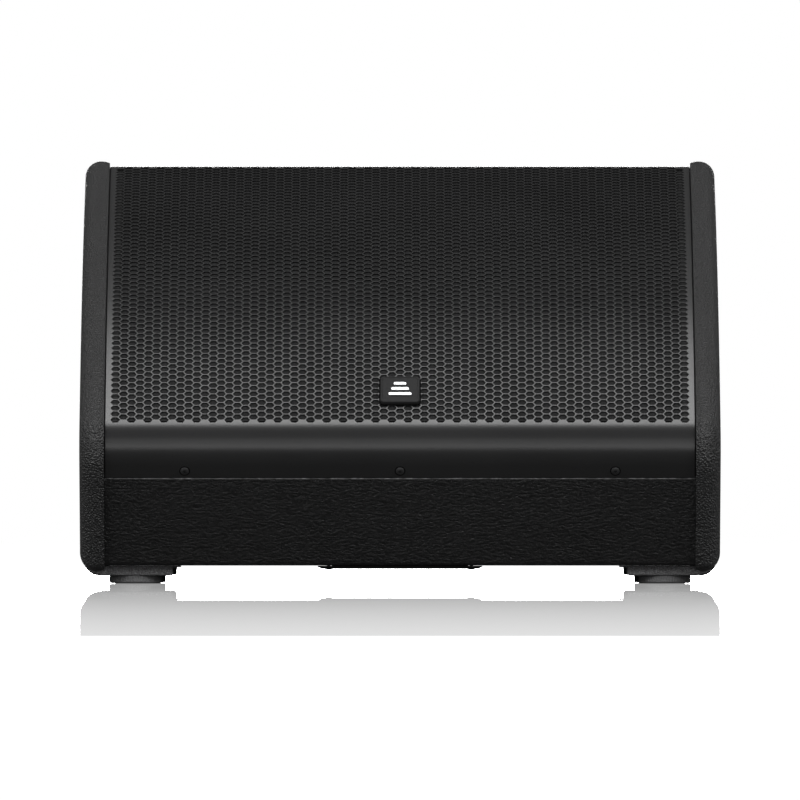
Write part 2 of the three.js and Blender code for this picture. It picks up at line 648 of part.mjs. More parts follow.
// a corrugated disc between the coil's former and the basket's shelf
function spider() {
  const { inner, first, pitch, waves, high, low, thick } = SPIDER;
  const rim = SPIDER_RIM;
  const crests = [];
  for (let i = 0; i < waves; i += 1) crests.push([first + i * pitch, i % 2 ? low : high]);
  const under = crests.map(([r, z]) => [r, z - thick]).reverse();
  return turned([
    [inner, low + 1], ...crests, [rim.inner, rim.top], [rim.outer, rim.top],
    [rim.outer, rim.top - rim.thick], [rim.inner - 0.6, rim.top - rim.thick], ...under,
    [inner, low + 1 - thick],
  ]);
}

function paperCone() {
  const { neck, neckTop, bend, rim, thick, neckDepth } = CONE;
  const edge = DRIVER.cone - 1;
  return turned([
    [neck, neckTop - neckDepth], [neck, neckTop], bend, rim, [edge, rim[1]],
    [edge, rim[1] - thick], [rim[0], rim[1] - thick], [bend[0], bend[1] - thick],
  ]);
}

function voiceCoil() {
  const { former, wall, wire, top, wireTop, foot } = COIL;
  const inner = DRIVER.coil - former;
  return turned([
    [inner, top], [inner + wall, top], [inner + wall, wireTop], [inner + wire, wireTop],
    [inner + wire, foot], [inner, foot],
  ]);
}

// a flared throat whose foot stands on the pole piece
function horn() {
  const base = POLE.top + GAP;
  return turned([
    [DRIVER.throat, base], [15, -70], [20, -52], [32, -28], [52, -8], [60, -3], [63, -4],
    [55, -12], [36, -31], [25, -52], [20, -72], [20, -86], [30, -86], [30, base],
  ]);
}

// a cup behind the pole piece, and the domed diaphragm inside it
function highFrequencyDriver(rear) {
  const { radius, depth, bore, lip, back } = TWEETER;
  return turned([
    [0, rear - back], [bore, rear - back], [bore, rear - lip], [DRIVER.throat, rear - lip],
    [DRIVER.throat, rear], [radius, rear], [radius, rear - depth], [0, rear - depth],
  ]);
}

function diaphragm(rear) {
  return turned([
    [0, rear - 13.5], [12, rear - 15], [22, rear - 19], [28, rear - 20], [28, rear - 20.8],
    [21.5, rear - 19.9], [11.6, rear - 16], [0, rear - 14.4],
  ]);
}

function driverParts() {
  const { top, plate, plateRadius, gap, magnet, back } = MOTOR;
  const { coil, throat } = DRIVER;
  const plateFoot = top - plate;
  const magnetFoot = plateFoot - GAP - magnet;
  const backFoot = magnetFoot - GAP - back;
  const rear = backFoot - GAP;
  const pole = coil - POLE.clear;
  return [
    ["woofer_basket", basket(), MATERIALS.castAlloy],
    ["woofer_top_plate", turned([
      [coil + gap, top], [plateRadius, top], [plateRadius, plateFoot], [coil + gap, plateFoot],
    ]), MATERIALS.platedSteel],
    ["woofer_magnet", turned([
      [MAGNET.inner, plateFoot - GAP], [MAGNET.outer, plateFoot - GAP], [MAGNET.outer, magnetFoot],
      [MAGNET.inner, magnetFoot],
    ]), MATERIALS.ferrite],
    ["woofer_pole_piece", turned([
      [throat, POLE.top], [pole, POLE.top], [pole, magnetFoot - GAP],
      [POLE.backRadius, magnetFoot - GAP], [POLE.backRadius, backFoot], [throat, backFoot],
    ]), MATERIALS.platedSteel],
    ["voice_coil", voiceCoil(), MATERIALS.copper],
    ["woofer_spider", spider(), MATERIALS.cloth],
    ["woofer_cone", paperCone(), MATERIALS.paper],
    ["woofer_surround", surround(), MATERIALS.rubber],
    ["horn", horn(), MATERIALS.plastic],
    ["high_frequency_driver", highFrequencyDriver(rear), MATERIALS.castAlloy],
    ["high_frequency_diaphragm", diaphragm(rear), MATERIALS.titanium],
  ];
}

function portTube() {
  const { radius, wall, length, flange, flare, top, bell } = PORT;
  return turned([
    [radius, -length], [radius, -bell], [radius + flare, top], [flange, top], [flange, GAP],
    [radius + wall, GAP], [radius + wall, -length],
  ]);
}

// ---------------------------------------------------------------- amplifier and rear controls

// local x runs left to right for somebody behind the object, y up the panel and z out of it
function rearFrame() {
  const at = onRear(TRAY.up, 0);
  return new THREE.Matrix4().makeBasis(
    new THREE.Vector3(-1, 0, 0),
    new THREE.Vector3(0, rearUp.x, rearUp.y),
    new THREE.Vector3(0, rearOut.x, rearOut.y),
  ).setPosition(0, at.x, at.y);
}

function amplifierTray() {
  const { width, height, pocket, depth, wall, flange } = TRAY;
  const [w, h] = pocket;
  const plate = alongZ(roundedRectangle(width, height, 6), GAP, GAP + flange);
  const { pocket: corner, shell: shellCorner } = TRAY_CORNER;
  const outer = alongZ(roundedRectangle(w + 2 * wall, h + 2 * wall, shellCorner), -depth, flange / 2);
  const hollow = alongZ(roundedRectangle(w, h, corner), FLOOR_FACE, THROUGH);
  const low = -depth - 1;
  const high = FLOOR_FACE + 1;
  const holes = [SOCKETS.mains, SOCKETS.input, SOCKETS.link, ...SOCKETS.network]
    .map((x) => post(SOCKET.clear, low, high, x, ROW));
  const rw = ROCKER.width / 2 + HOLE_ROOM;
  const rh = ROCKER.height / 2 + ROCKER_ROOM;
  holes.push(box(ROCKER.x - rw, ROCKER.x + rw, ROW - rh, ROW + rh, low, high));
  holes.push(post(SHAFT.radius + HOLE_ROOM, low, high, ENCODER.x, ENCODER.y));
  holes.push(post(BUTTON.radius + HOLE_ROOM, low, high, BUTTON.x, BUTTON.y));
  const shell = solid(plate).add(solid(outer)).subtract(solid(hollow));
  return surface(holes.reduce((body, hole) => body.subtract(solid(hole)), shell));
}

function heatSink() {
  const { width, height, base, fin, fins, depth } = SINK;
  const section = new THREE.Shape();
  const pitch = (width - fin) / (fins - 1);
  section.moveTo(-width / 2, 0);
  for (let i = 0; i < fins; i += 1) {
    const x = -width / 2 + i * pitch;
    if (i > 0) section.lineTo(x, base);
    section.lineTo(x, depth);
    section.lineTo(x + fin, depth);
    if (i < fins - 1) section.lineTo(x + fin, base);
  }
  section.lineTo(width / 2, 0);
  section.closePath();
  const comb = new THREE.ExtrudeGeometry(section, { depth: height, bevelEnabled: false });
  return comb.rotateX(Math.PI / 2).translate(0, height / 2, 0);
}

// a panel socket: a rectangular plate with a round body behind it; z = 0 is the back of the plate
function socketBlank() {
  const { width, height, corner, plate, rim, body, back } = SOCKET;
  const face = alongZ(roundedRectangle(width, height, corner), 0, plate);
  return solid(face).add(solid(post(body, -back, plate + rim)));
}

function latchSlot() {
  const { half, low, high, proud, room, slot } = LATCH;
  const side = half + room;
  return solid(box(-side, side, low - room, high + room, -slot, SOCKET.plate + proud));
}

function panelSocket(latched) {
  const bore = post(BORE.radius, -BORE.depth, SOCKET.plate + 2);
  const socket = socketBlank().subtract(solid(bore));
  return surface(latched ? socket.subtract(latchSlot()) : socket);
}

function networkSocket() {
  const { half, low, high, depth } = JACK;
  const recess = box(-half, half, low, high, -depth, SOCKET.plate + 2);
  return surface(socketBlank().subtract(solid(recess)).subtract(latchSlot()));
}

function latchTab() {
  const { half, low, high, foot, proud } = LATCH;
  return box(-half, half, low, high, foot, SOCKET.plate + proud);
}

function rocker() {
  const { width, height, thick, low, dip, high } = ROCKER;
  const section = new THREE.Shape();
  const h = height / 2;
  section.moveTo(-h, -thick);
  section.lineTo(h, -thick);
  section.lineTo(h, low);
  section.quadraticCurveTo(0, dip, -h, high);
  section.closePath();
  return alongX(section, -width / 2, width / 2);
}

function knob() {
  const { knob: r, height, cap, edge } = ENCODER;
  const bore = SHAFT.radius + GAP;
  return turned([
    [0, height - cap], [bore, height - cap], [bore, 0], [r, 0], [r, height - edge],
    [r - edge, height], [0, height],
  ]);
}

// a board with its large components on the far side and four pillars to the tray
function circuitBoard(components) {
  const { width, height, thick, gap, pillar, inset } = BOARD;
  const board = box(-width / 2, width / 2, -height / 2, height / 2, 0, thick);
  const lumps = components.map(([x, y, w, h, rise]) =>
    box(x - w / 2, x + w / 2, y - h / 2, y + h / 2, -rise, thick / 2));
  const pillars = [[-1, -1], [1, -1], [1, 1], [-1, 1]].map(([i, j]) =>
    post(pillar, 0, gap - GAP, i * (width / 2 - inset[0]), j * (height / 2 - inset[1]), 8));
  return joined([board, ...lumps, ...pillars]);
}

// ---------------------------------------------------------------- put together

for (const [name, side] of SIDES) {
  place(cabinet, `${name}_side_panel`, sidePanel(side), MATERIALS.plywood);
  place(cabinet, `${name}_cheek`, cheek(side), MATERIALS.cheek);
  place(cabinet, `${name}_grille_rib`, grilleRib(side), MATERIALS.plywood);
  for (const end of ["front", "rear"]) {
    place(cabinet, `${end}_${name}_foot`, rubberFoot(), MATERIALS.rubber, side * FOOT.x, FOOT[end]);
    place(cabinet, `${end}_${name}_foot_screw`, footScrew(), MATERIALS.screw, side * FOOT.x, FOOT[end]);
  }
}
place(cabinet, "front_panel", frontPanel(), MATERIALS.paint);
place(cabinet, "bottom_panel", bottomPanel(), MATERIALS.paint);
place(cabinet, "rear_panel", rearPanel(), MATERIALS.paint);
place(cabinet, "baffle_board", baffle(), MATERIALS.plywood);
place(cabinet, "grille", grilleSheet(), MATERIALS.steel);
place(cabinet, "grille_foam", foamSheet(), MATERIALS.foam);
place(cabinet, "bottom_handle", bottomHandle(), MATERIALS.plastic);

const lipPoint = onFront((LIP_SCREW.height - BASE) / frontUp.y, GAP);
["left", "middle", "right"].forEach((name, i) => {
  const at = [(i - 1) * LIP_SCREW.spacing, lipPoint.x, lipPoint.y];
  const piece = place(cabinet, `${name}_grille_screw`, screw(LIP_SCREW), MATERIALS.screw, ...at);
  piece.rotation.x = radians(90 + UNDERCUT);
});

const badge = new THREE.Group();
const badgeTurn = THREE.MathUtils.radToDeg(BADGE.along / GRILLE_RADIUS.lower);
const badgeArc = { radius: GRILLE_RADIUS.lower, turn: badgeTurn, steps: 1 };
const badgePoint = last(trace(grilleFoot, TILT.nose, [badgeArc], BADGE.proud));
badge.rotation.x = radians(TILT.nose - badgeTurn);
badge.position.set(0, badgePoint.x, badgePoint.y);
cabinet.add(badge);
place(badge, "badge_plate", badgePlate(), MATERIALS.badge);
place(badge, "badge_emblem", emblem(), MATERIALS.emblem, 0, 0, BADGE.thick + GAP);

const driver = new THREE.Group();
driver.rotation.x = SLOPE;
driver.position.set(0, driverCentre.x, driverCentre.y);
cabinet.add(driver);
for (const [name, geometry, material] of driverParts()) place(driver, name, geometry, material);
SCREW_ANGLES.forEach((angle, i) => {
  const [x, y] = onScrewCircle(angle);
  const under = BASKET.rim.top + GAP;
  place(driver, `woofer_screw_${i + 1}`, screw(DRIVER_SCREW), MATERIALS.screw, x, y, under);
});
for (const [name, side] of SIDES) {
  place(driver, `${name}_port_tube`, portTube(), MATERIALS.plastic, side * PORT.x, -PORT.down);
}

const rear = new THREE.Group();
rearFrame().decompose(rear.position, rear.quaternion, rear.scale);
cabinet.add(rear);
const seat = FLOOR_FACE + GAP;
place(rear, "amplifier_tray", amplifierTray(), MATERIALS.steel);
place(rear, "heat_sink", heatSink(), MATERIALS.aluminium, SINK.x, SINK.y, seat);
place(rear, "mains_inlet", panelSocket(false), MATERIALS.mainsBlue, SOCKETS.mains, ROW, seat);
place(rear, "input_socket", panelSocket(true), MATERIALS.nickel, SOCKETS.input, ROW, seat);
place(rear, "input_latch_tab", latchTab(), MATERIALS.plastic, SOCKETS.input, ROW, seat);
place(rear, "link_socket", panelSocket(false), MATERIALS.nickel, SOCKETS.link, ROW, seat);
SOCKETS.network.forEach((x, i) => {
  place(rear, `network_socket_${i + 1}`, networkSocket(), MATERIALS.nickel, x, ROW, seat);
  place(rear, `network_latch_tab_${i + 1}`, latchTab(), MATERIALS.plastic, x, ROW, seat);
});
place(rear, "power_rocker", rocker(), MATERIALS.plastic, ROCKER.x, ROW, seat + ROCKER.proud);
const pane = alongZ(roundedRectangle(DISPLAY.width, DISPLAY.height, DISPLAY.corner), 0, DISPLAY.thick);
place(rear, "display_window", pane, MATERIALS.window, DISPLAY.x, DISPLAY.y, seat);
const shaft = post(SHAFT.radius, SHAFT.foot, SHAFT.top);
place(rear, "encoder_shaft", shaft, MATERIALS.nickel, ENCODER.x, ENCODER.y, seat);
place(rear, "encoder_knob", knob(), MATERIALS.knob, ENCODER.x, ENCODER.y, seat + ENCODER.clear);
const button = post(BUTTON.radius, -BUTTON.depth, BUTTON.proud);
place(rear, "menu_button", button, MATERIALS.plastic, BUTTON.x, BUTTON.y, seat);
const boardFace = -TRAY.depth - BOARD.gap;
const boards = { amplifier_board: AMPLIFIER_LUMPS, power_supply_board: SUPPLY_LUMPS };
Object.entries(boards).forEach(([name, lumps], i) => {
  place(rear, name, circuitBoard(lumps), MATERIALS.circuit, (2 * i - 1) * BOARD.x, 0, boardFace);
});

export default wedge;
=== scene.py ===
"""The looks of a powered stage monitor wedge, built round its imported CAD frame.

Lengths are metres. +X is right, +Y is away from the listener, +Z is up.
"""

import json
import math
from collections import namedtuple

import bmesh
import bpy
from mathutils import Matrix, Vector


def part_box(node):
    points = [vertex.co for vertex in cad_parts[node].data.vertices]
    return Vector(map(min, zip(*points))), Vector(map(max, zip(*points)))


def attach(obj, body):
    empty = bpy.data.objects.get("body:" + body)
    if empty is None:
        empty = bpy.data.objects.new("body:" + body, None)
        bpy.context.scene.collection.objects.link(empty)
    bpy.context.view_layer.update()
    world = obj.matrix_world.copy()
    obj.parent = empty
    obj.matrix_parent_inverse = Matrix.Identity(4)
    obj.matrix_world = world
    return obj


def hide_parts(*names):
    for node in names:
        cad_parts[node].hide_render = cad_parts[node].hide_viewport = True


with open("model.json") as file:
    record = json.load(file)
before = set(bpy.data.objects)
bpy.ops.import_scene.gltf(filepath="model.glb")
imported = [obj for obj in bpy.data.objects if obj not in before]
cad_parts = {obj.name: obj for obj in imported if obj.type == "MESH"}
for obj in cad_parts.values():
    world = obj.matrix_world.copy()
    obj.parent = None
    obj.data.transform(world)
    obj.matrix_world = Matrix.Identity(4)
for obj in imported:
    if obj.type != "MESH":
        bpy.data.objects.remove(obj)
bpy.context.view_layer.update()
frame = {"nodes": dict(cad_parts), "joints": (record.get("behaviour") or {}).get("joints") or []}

MM = 0.001


# ---------------- the side outline

# The line that the grille, the front panel and the rear panel follow, seen from the side.
BASE = 16.7 * MM
NOSE_HEIGHT, NOSE_RADIUS, NOSE_RUN = 126 * MM, 32.5 * MM, 3 * MM
UNDERCUT = 30
TILT_NOSE, TILT_MIDDLE, TILT_TOP = 39.4, 28.5, 16.1
LOWER_RADIUS, UPPER_RADIUS = 1072 * MM, 1583 * MM
REAR_BEND, REAR_LEAN = 12 * MM, 4
FRONT_ROUND, REAR_ROUND = 8.5 * MM, 10 * MM
PROUD = 5 * MM  # the cheeks stand this far outside the line

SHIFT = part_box("left_cheek")[0][1] + PROUD  # where the nose's foremost point is
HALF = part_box("right_cheek")[1][0]
BOARD_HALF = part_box("front_panel")[1][0]

Leg = namedtuple("Leg", "name start heading length turn begin")


def ray(degrees):
    a = math.radians(degrees)
    return Vector((math.cos(a), math.sin(a)))


def build_line(start, heading, stretches):
    """Legs from (name, length, turn) stretches; turn is in degrees, clockwise."""
    legs, here, begin = [], Vector(start), 0.0
    for name, length, turn in stretches:
        leg = Leg(name, here, heading, length, turn, begin)
        legs.append(leg)
        here, heading, _ = on_leg(leg, length)
        begin += length
    return legs


def on_leg(leg, run):
    """(point, heading, outward normal) a run along a leg."""
    heading = leg.heading - leg.turn * run / leg.length
    out = ray(heading + 90)
    if leg.turn == 0:
        return leg.start + ray(leg.heading) * run, heading, out
    radius = leg.length / math.radians(leg.turn)
    centre = leg.start - ray(leg.heading + 90) * radius
    return centre + out * radius, heading, out


def arc(name, radius, turn):
    return (name, radius * math.radians(turn), turn)


def whole_line():
    front, rear = 90 + UNDERCUT, -(90 - REAR_LEAN)
    nose_foot = Vector((NOSE_RADIUS, NOSE_HEIGHT)) + ray(front + 90) * NOSE_RADIUS
    front_run = (nose_foot.y - BASE) / ray(front).y
    corner = nose_foot - ray(front) * front_run
    front_tangent = FRONT_ROUND * math.tan(math.radians((180 - front) / 2))
    over = [
        arc("nose", NOSE_RADIUS, front - TILT_NOSE),
        ("shoulder", NOSE_RUN, 0),
        arc("lower", LOWER_RADIUS, TILT_NOSE - TILT_MIDDLE),
        arc("upper", UPPER_RADIUS, TILT_MIDDLE - TILT_TOP),
        arc("rear_bend", REAR_BEND, TILT_TOP - rear),
    ]
    rear_top = build_line(nose_foot, front, over + [("end", 1, 0)])[-1].start
    rear_run = (rear_top.y - BASE) / -ray(rear).y
    rear_tangent = REAR_ROUND * math.tan(math.radians((180 + rear) / 2))
    start = Vector((corner.x + front_tangent, BASE))
    stretches = [
        arc("front_foot", FRONT_ROUND, 180 - front),
        ("front", front_run - front_tangent, 0),
        *over,
        ("rear", rear_run - rear_tangent, 0),
        arc("rear_foot", REAR_ROUND, 180 + rear),
    ]
    legs = build_line(start, 180, stretches)
    end = on_leg(legs[-1], legs[-1].length)[0]
    return legs + [Leg("bottom", end, 180, end.x - start.x, 0, legs[-1].begin + legs[-1].length)]


LINE = whole_line()
LEG = {leg.name: leg for leg in LINE}
LINE_LENGTH = LINE[-1].begin + LINE[-1].length


def on_line(s, n=0.0):
    """The point (y, z) at s along the line and n outside it, in the row frame."""
    leg = next((leg for leg in LINE if s <= leg.begin + leg.length), LINE[-1])
    place, _, out = on_leg(leg, s - leg.begin)
    place = place + out * n
    return Vector((place.x + SHIFT, place.y))


def stations(names, arc_step=4.0, run_step=12 * MM):
    """Places along the named legs: close on the bends, wider on the long stretches."""
    found = []
    for name in names:
        leg = LEG[name]
        bends = math.ceil(abs(leg.turn) / arc_step)
        runs = math.ceil(leg.length / run_step)
        count = max(1, bends if leg.length < 0.1 else runs)
        found += [leg.begin + leg.length * i / count for i in range(count)]
    return found


def placed(x, y, z, place):
    """The matrix of a frame with these axes at a place."""
    matrix = Matrix((x, y, z)).transposed().to_4x4()
    matrix.translation = place
    return matrix


def front_frame(height):
    """A frame on the front face at a height: y up the face, z out of it."""
    leg = LEG["front"]
    place, heading, out = on_leg(leg, (height - leg.start.y) / ray(leg.heading).y)
    climb = ray(heading)
    y, z = Vector((0, climb.x, climb.y)), Vector((0, out.x, out.y))
    return placed(y.cross(z), y, z, (0, place.x + SHIFT, place.y))


def quarter(steps):
    """(sine, 1 - cosine) through a quarter turn, in equal steps."""
    angles = [(i / steps) * math.pi / 2 for i in range(steps + 1)]
    return [(math.sin(a), 1 - math.cos(a)) for a in angles]


# ---------------- materials

class Graph:
    """The nodes of a material or of the world."""

    def __init__(self, owner):
        owner.use_nodes = True
        self.nodes, self.links = owner.node_tree.nodes, owner.node_tree.links

    def feed(self, node, inputs):
        """Gives a node's inputs their values, each a number, a colour or another node's output."""
        for key, value in inputs.items():
            if isinstance(value, bpy.types.NodeSocket):
                self.links.new(value, node.inputs[key])
            else:
                node.inputs[key].default_value = value
        return node

    def add(self, kind, inputs=None, **settings):
        node = self.nodes.new("ShaderNode" + kind)
        for key, value in settings.items():
            setattr(node, key, value)
        return self.feed(node, inputs or {})

    def texture(self, kind, scale, stretch=None, **inputs):
        """A 3-D texture in the object's own metres, stretched across if told to be."""
        place = self.add("TexCoord").outputs["Object"]
        if stretch:
            place = self.add("Mapping", {"Vector": place, "Scale": (1 / stretch, 1, 1)}).outputs["Vector"]
        return self.add(kind, {"Vector": place, "Scale": scale, **inputs})

    def ramp(self, source, stops):
        node = self.add("ValToRGB", {0: source})
        elements = node.color_ramp.elements
        while len(elements) < len(stops):
            elements.new(0.5)
        for element, (position, value) in zip(elements, stops):
            element.position = position
            element.color = (*value, 1) if hasattr(value, "__len__") else (value, value, value, 1)
        return node.outputs[0]

    def spread(self, value, source, target):
        """A value that goes from one end of target to the other as value crosses source."""
        return self.add("MapRange", {
            "Value": value, "From Min": source[0], "From Max": source[1],
            "To Min": target[0], "To Max": target[1],
        }).outputs[0]

    def calculate(self, operation, a, b):
        return self.add("Math", {0: a, 1: b}, operation=operation).outputs[0]


PATCH_SCALE, PATCHES = 9.0, 0.12  # broad patches, and how far they lighten and darken a finish
ROUGH_SWING = 0.12  # how far the grain moves the roughness


def scaled(colour, k):
    return tuple(c * k for c in colour)


def surface(name, colour, roughness, grain=900, speckle=0.25, depth=0.15, size=0.2 * MM, metallic=0.0,
            coat=0.0, cells=False, specular=0.5, ior=1.5, stretch=None):
    """A finish with fine grain, faint larger patches and a bump of the grain or of cells."""
    made = bpy.data.materials.new(name)
    graph = Graph(made)
    fine = graph.texture("TexNoise", grain, stretch, Detail=3.0, Roughness=0.6).outputs["Fac"]
    broad = graph.texture("TexNoise", PATCH_SCALE, Detail=2.0).outputs["Fac"]
    fine_colour = graph.ramp(fine, [
        (0.3, scaled(colour, 1 - speckle)), (0.52, colour), (0.75, scaled(colour, 1 + 2 * speckle)),
    ])
    broad_tint = graph.ramp(broad, [(0.3, 1 - PATCHES), (0.7, 1 + PATCHES)])
    mix = graph.add("Mix", {"Factor": 1.0, 6: fine_colour, 7: broad_tint},
                    data_type="RGBA", blend_type="MULTIPLY")
    rough = graph.ramp(fine, [
        (0.3, roughness * (1 - ROUGH_SWING)), (0.7, min(1, roughness * (1 + ROUGH_SWING))),
    ])
    relief = fine
    if cells:
        relief = graph.texture("TexVoronoi", grain * 0.7, Randomness=1.0).outputs["Distance"]
    bump = graph.add("Bump", {"Strength": depth, "Distance": size, "Height": relief})
    graph.feed(graph.nodes["Principled BSDF"], {
        "Base Color": mix.outputs[2], "Roughness": rough, "Normal": bump.outputs["Normal"],
        "Metallic": metallic, "Coat Weight": coat, "Specular IOR Level": specular, "IOR": ior,
    })
    return made


def grey(value):
    return (value, value, value * 1.02)


FINISH = {
    "cheek": surface("cheek_grained_plastic", grey(0.014), 0.48, grain=760, speckle=0.6, depth=1.0,
                     size=1.6 * MM, cells=True, ior=1.6),
    # painted highlight: a far lighter copy of the cheek plastic, for the foot blocks' lit front faces
    "block": surface("foot_block_plastic_painted_highlight", grey(0.14), 0.62, grain=1100, speckle=0.75, depth=1.0,
                     size=0.6 * MM, cells=True),
    "paint": surface("textured_cabinet_paint", grey(0.009), 0.45, grain=440, speckle=0.6, depth=1.0,
                     size=3.2 * MM, specular=0.38, stretch=1.8),
    # painted highlight: a broken light grey for the bright line along the front panel's top edge
    "edge_highlight_paint": surface("paint_with_painted_edge_highlight", grey(0.07), 0.6, grain=150, speckle=0.97, depth=0.8,
                          size=0.5 * MM),
    "steel": surface("powder_coated_steel", grey(0.016), 0.31, grain=1500, speckle=0.12, depth=0.12,
                     size=0.08 * MM),
    "foam": surface("open_cell_foam", grey(0.021), 1.0, grain=1300, speckle=0.5, depth=0.9,
                    size=0.6 * MM, cells=True, specular=0.1),
    "screw": surface("blackened_screw_steel", grey(0.02), 0.35, grain=2500, speckle=0.2, depth=0.1,
                     size=0.05 * MM, metallic=0.4),
    # a lighter copy of the screw steel, for the heads of the lip screws
    "worn_screw": surface("lighter_screw_steel", grey(0.035), 0.4, grain=2500, speckle=0.3, depth=0.1,
                          size=0.05 * MM, metallic=0.3),
    "badge": surface("badge_satin_black", grey(0.018), 0.62, grain=3000, speckle=0.1, depth=0.05,
                     size=0.03 * MM, specular=0.2),
    "emblem": surface("emblem_satin_silver", (0.78, 0.79, 0.8), 0.28, grain=2500, speckle=0.06,
                      depth=0.05, size=0.03 * MM, metallic=0.85),
    # painted shade: near-black for the dark ring round the badge and round each lip screw's head
    "gasket": surface("painted_shade_black", grey(0.004), 0.95, grain=1800, specular=0.1),
    "rubber": surface("foot_rubber", grey(0.13), 0.72, grain=1600, speckle=0.25, depth=0.25,
                      size=0.15 * MM),
    "plastic": surface("fine_grained_plastic", grey(0.016), 0.48, grain=1700, speckle=0.2,
                       depth=0.25, size=0.12 * MM),
    "alloy": surface("black_cast_alloy", grey(0.05), 0.5, grain=900, metallic=0.6),
    "zinc": surface("zinc_plated_steel", (0.5, 0.5, 0.48), 0.35, grain=300, speckle=0.12,
                    metallic=0.95),
    "ferrite": surface("ferrite", grey(0.035), 0.75, grain=700, speckle=0.3),
    "pulp": surface("cone_pulp", grey(0.02), 0.9, grain=500, speckle=0.4, depth=0.5),
    "cloth": surface("suspension_cloth", (0.3, 0.2, 0.08), 0.9, grain=1600, speckle=0.4, depth=0.6),
    "copper": surface("enamelled_copper", (0.6, 0.24, 0.1), 0.35, grain=1400, metallic=0.9),
    "titanium": surface("formed_titanium", (0.4, 0.4, 0.41), 0.3, grain=1400, metallic=0.9),
    "tray": surface("tray_powder_coat", grey(0.018), 0.45, grain=1300, speckle=0.15, depth=0.2,
                    size=0.1 * MM),
    "anodised": surface("black_anodised_aluminium", grey(0.025), 0.38, grain=1800, speckle=0.15,
                        metallic=0.6),
    "board": surface("circuit_board", (0.015, 0.09, 0.03), 0.45, grain=350, speckle=0.4),
    "window": surface("smoked_window", (0.008, 0.012, 0.016), 0.06, grain=30, speckle=0.05,
                      depth=0.0, coat=1.0),
    "nickel": surface("satin_nickel", (0.55, 0.54, 0.52), 0.32, grain=2200, speckle=0.08,
                      metallic=0.95),
    "gold": surface("contact_gold", (0.8, 0.55, 0.2), 0.25, grain=2200, speckle=0.08, metallic=1.0),
    "blue": surface("blue_mains_plastic", (0.03, 0.1, 0.3), 0.45, grain=1700, speckle=0.12),
    "insulator": surface("insulator_plastic", grey(0.03), 0.5, grain=1700, speckle=0.15),
    "knob": surface("knob_soft_touch", grey(0.022), 0.62, grain=2200, speckle=0.2),
    "white": surface("marking_white", (0.75, 0.75, 0.74), 0.5, grain=2200, speckle=0.05),
    "black_ply": surface("black_stained_plywood", grey(0.008), 0.75, grain=160, speckle=0.5, depth=0.3),
}


# ---------------- mesh helpers

def linked(name, data):
    """A new object of the scene: a mesh, a lamp or the camera."""
    thing = bpy.data.objects.new(name, data)
    bpy.context.scene.collection.objects.link(thing)
    return thing


def mesh_piece(name, verts, faces, finish, smooth=35):
    mesh = bpy.data.meshes.new(name)
    mesh.from_pydata([tuple(v) for v in verts], [], faces)
    mesh.validate()
    mesh.update()
    mesh.materials.append(FINISH[finish])
    soften(mesh, smooth)
    return linked(name, mesh)


def soften(mesh, angle):
    mesh.polygons.foreach_set("use_smooth", [True] * len(mesh.polygons))
    mesh.set_sharp_from_angle(angle=math.radians(angle))


def loft(rings, capped=True):
    """(verts, faces) of a skin over rings of equal length."""
    count = len(rings[0])
    verts = [v for ring in rings for v in ring]
    faces = []
    for r in range(len(rings) - 1):
        for i in range(count):
            j = (i + 1) % count
            a, b = r * count, (r + 1) * count
            faces.append((a + i, a + j, b + j, b + i))
    if capped:
        faces.append(tuple(reversed(range(count))))
        faces.append(tuple(range(len(verts) - count, len(verts))))
    return verts, faces


def rework(piece, *steps):
    """A piece after some steps on its mesh."""
    bm = bmesh.new()
    bm.from_mesh(piece.data)
    for step in steps:
        step(bm)
    bm.to_mesh(piece.data)
    bm.free()
    return piece


def merge(distance):
    return lambda bm: bmesh.ops.remove_doubles(bm, verts=bm.verts, dist=distance)


def welded(piece):
    """The piece with its coincident points made one, and the faces that this empties taken out."""
    return rework(piece, merge(1e-6), lambda bm: bmesh.ops.dissolve_degenerate(bm, edges=bm.edges, dist=1e-6))


def outward(piece):
    """Turns every face of a closed piece outwards."""
    return rework(piece, merge(1e-7), lambda bm: bmesh.ops.recalc_face_normals(bm, faces=bm.faces))


def circle_ring(radius, z, count=48):
    """A ring of points; radius may be a number or a function of the angle."""
    points = []
    for i in range(count):
        a = 2 * math.pi * i / count
        r = radius(a) if callable(radius) else radius
        points.append(Vector((r * math.cos(a), r * math.sin(a), z)))
    return points


def circles(profile, count=48):
    """Rings from (radius, z) pairs in millimetres."""
    return [circle_ring(r * MM, z * MM, count) for r, z in profile]


def fluted(radius, groove, count, power):
    """A circle's radius at an angle, with grooves round it."""
    return lambda a: radius - groove * (0.5 + 0.5 * math.cos(count * a)) ** power


def rectangle_ring(width, height, radius, z, count=48, x=0.0, y=0.0):
    """A rounded rectangle with count points, a quarter of them on each corner."""
    points = []
    per = count // 4
    for turn, (sx, sy) in enumerate([(1, 1), (-1, 1), (-1, -1), (1, -1)]):
        for i in range(per):
            a = math.radians(90 * turn + 90 * i / (per - 1))
            points.append(Vector((
                x + sx * (width / 2 - radius) + radius * math.cos(a),
                y + sy * (height / 2 - radius) + radius * math.sin(a),
                z,
            )))
    return points


def rectangle(width, height, radius, z, count=48, x=0, y=0):
    """rectangle_ring from millimetres."""
    return rectangle_ring(width * MM, height * MM, radius * MM, z * MM, count, x * MM, y * MM)


def ring_piece(name, rings, finish, smooth=35):
    return outward(mesh_piece(name, *loft(rings), finish, smooth))


def hoop_piece(name, rings, finish):
    """A hoop whose section's points each run round a ring; the last joins the first."""
    return outward(mesh_piece(name, *loft([*rings, rings[0]], capped=False), finish))


def turned_piece(name, profile, finish, count=48):
    """A solid turned about z from (radius, z) pairs in millimetres, capped at both ends."""
    return ring_piece(name, circles(profile, count), finish)


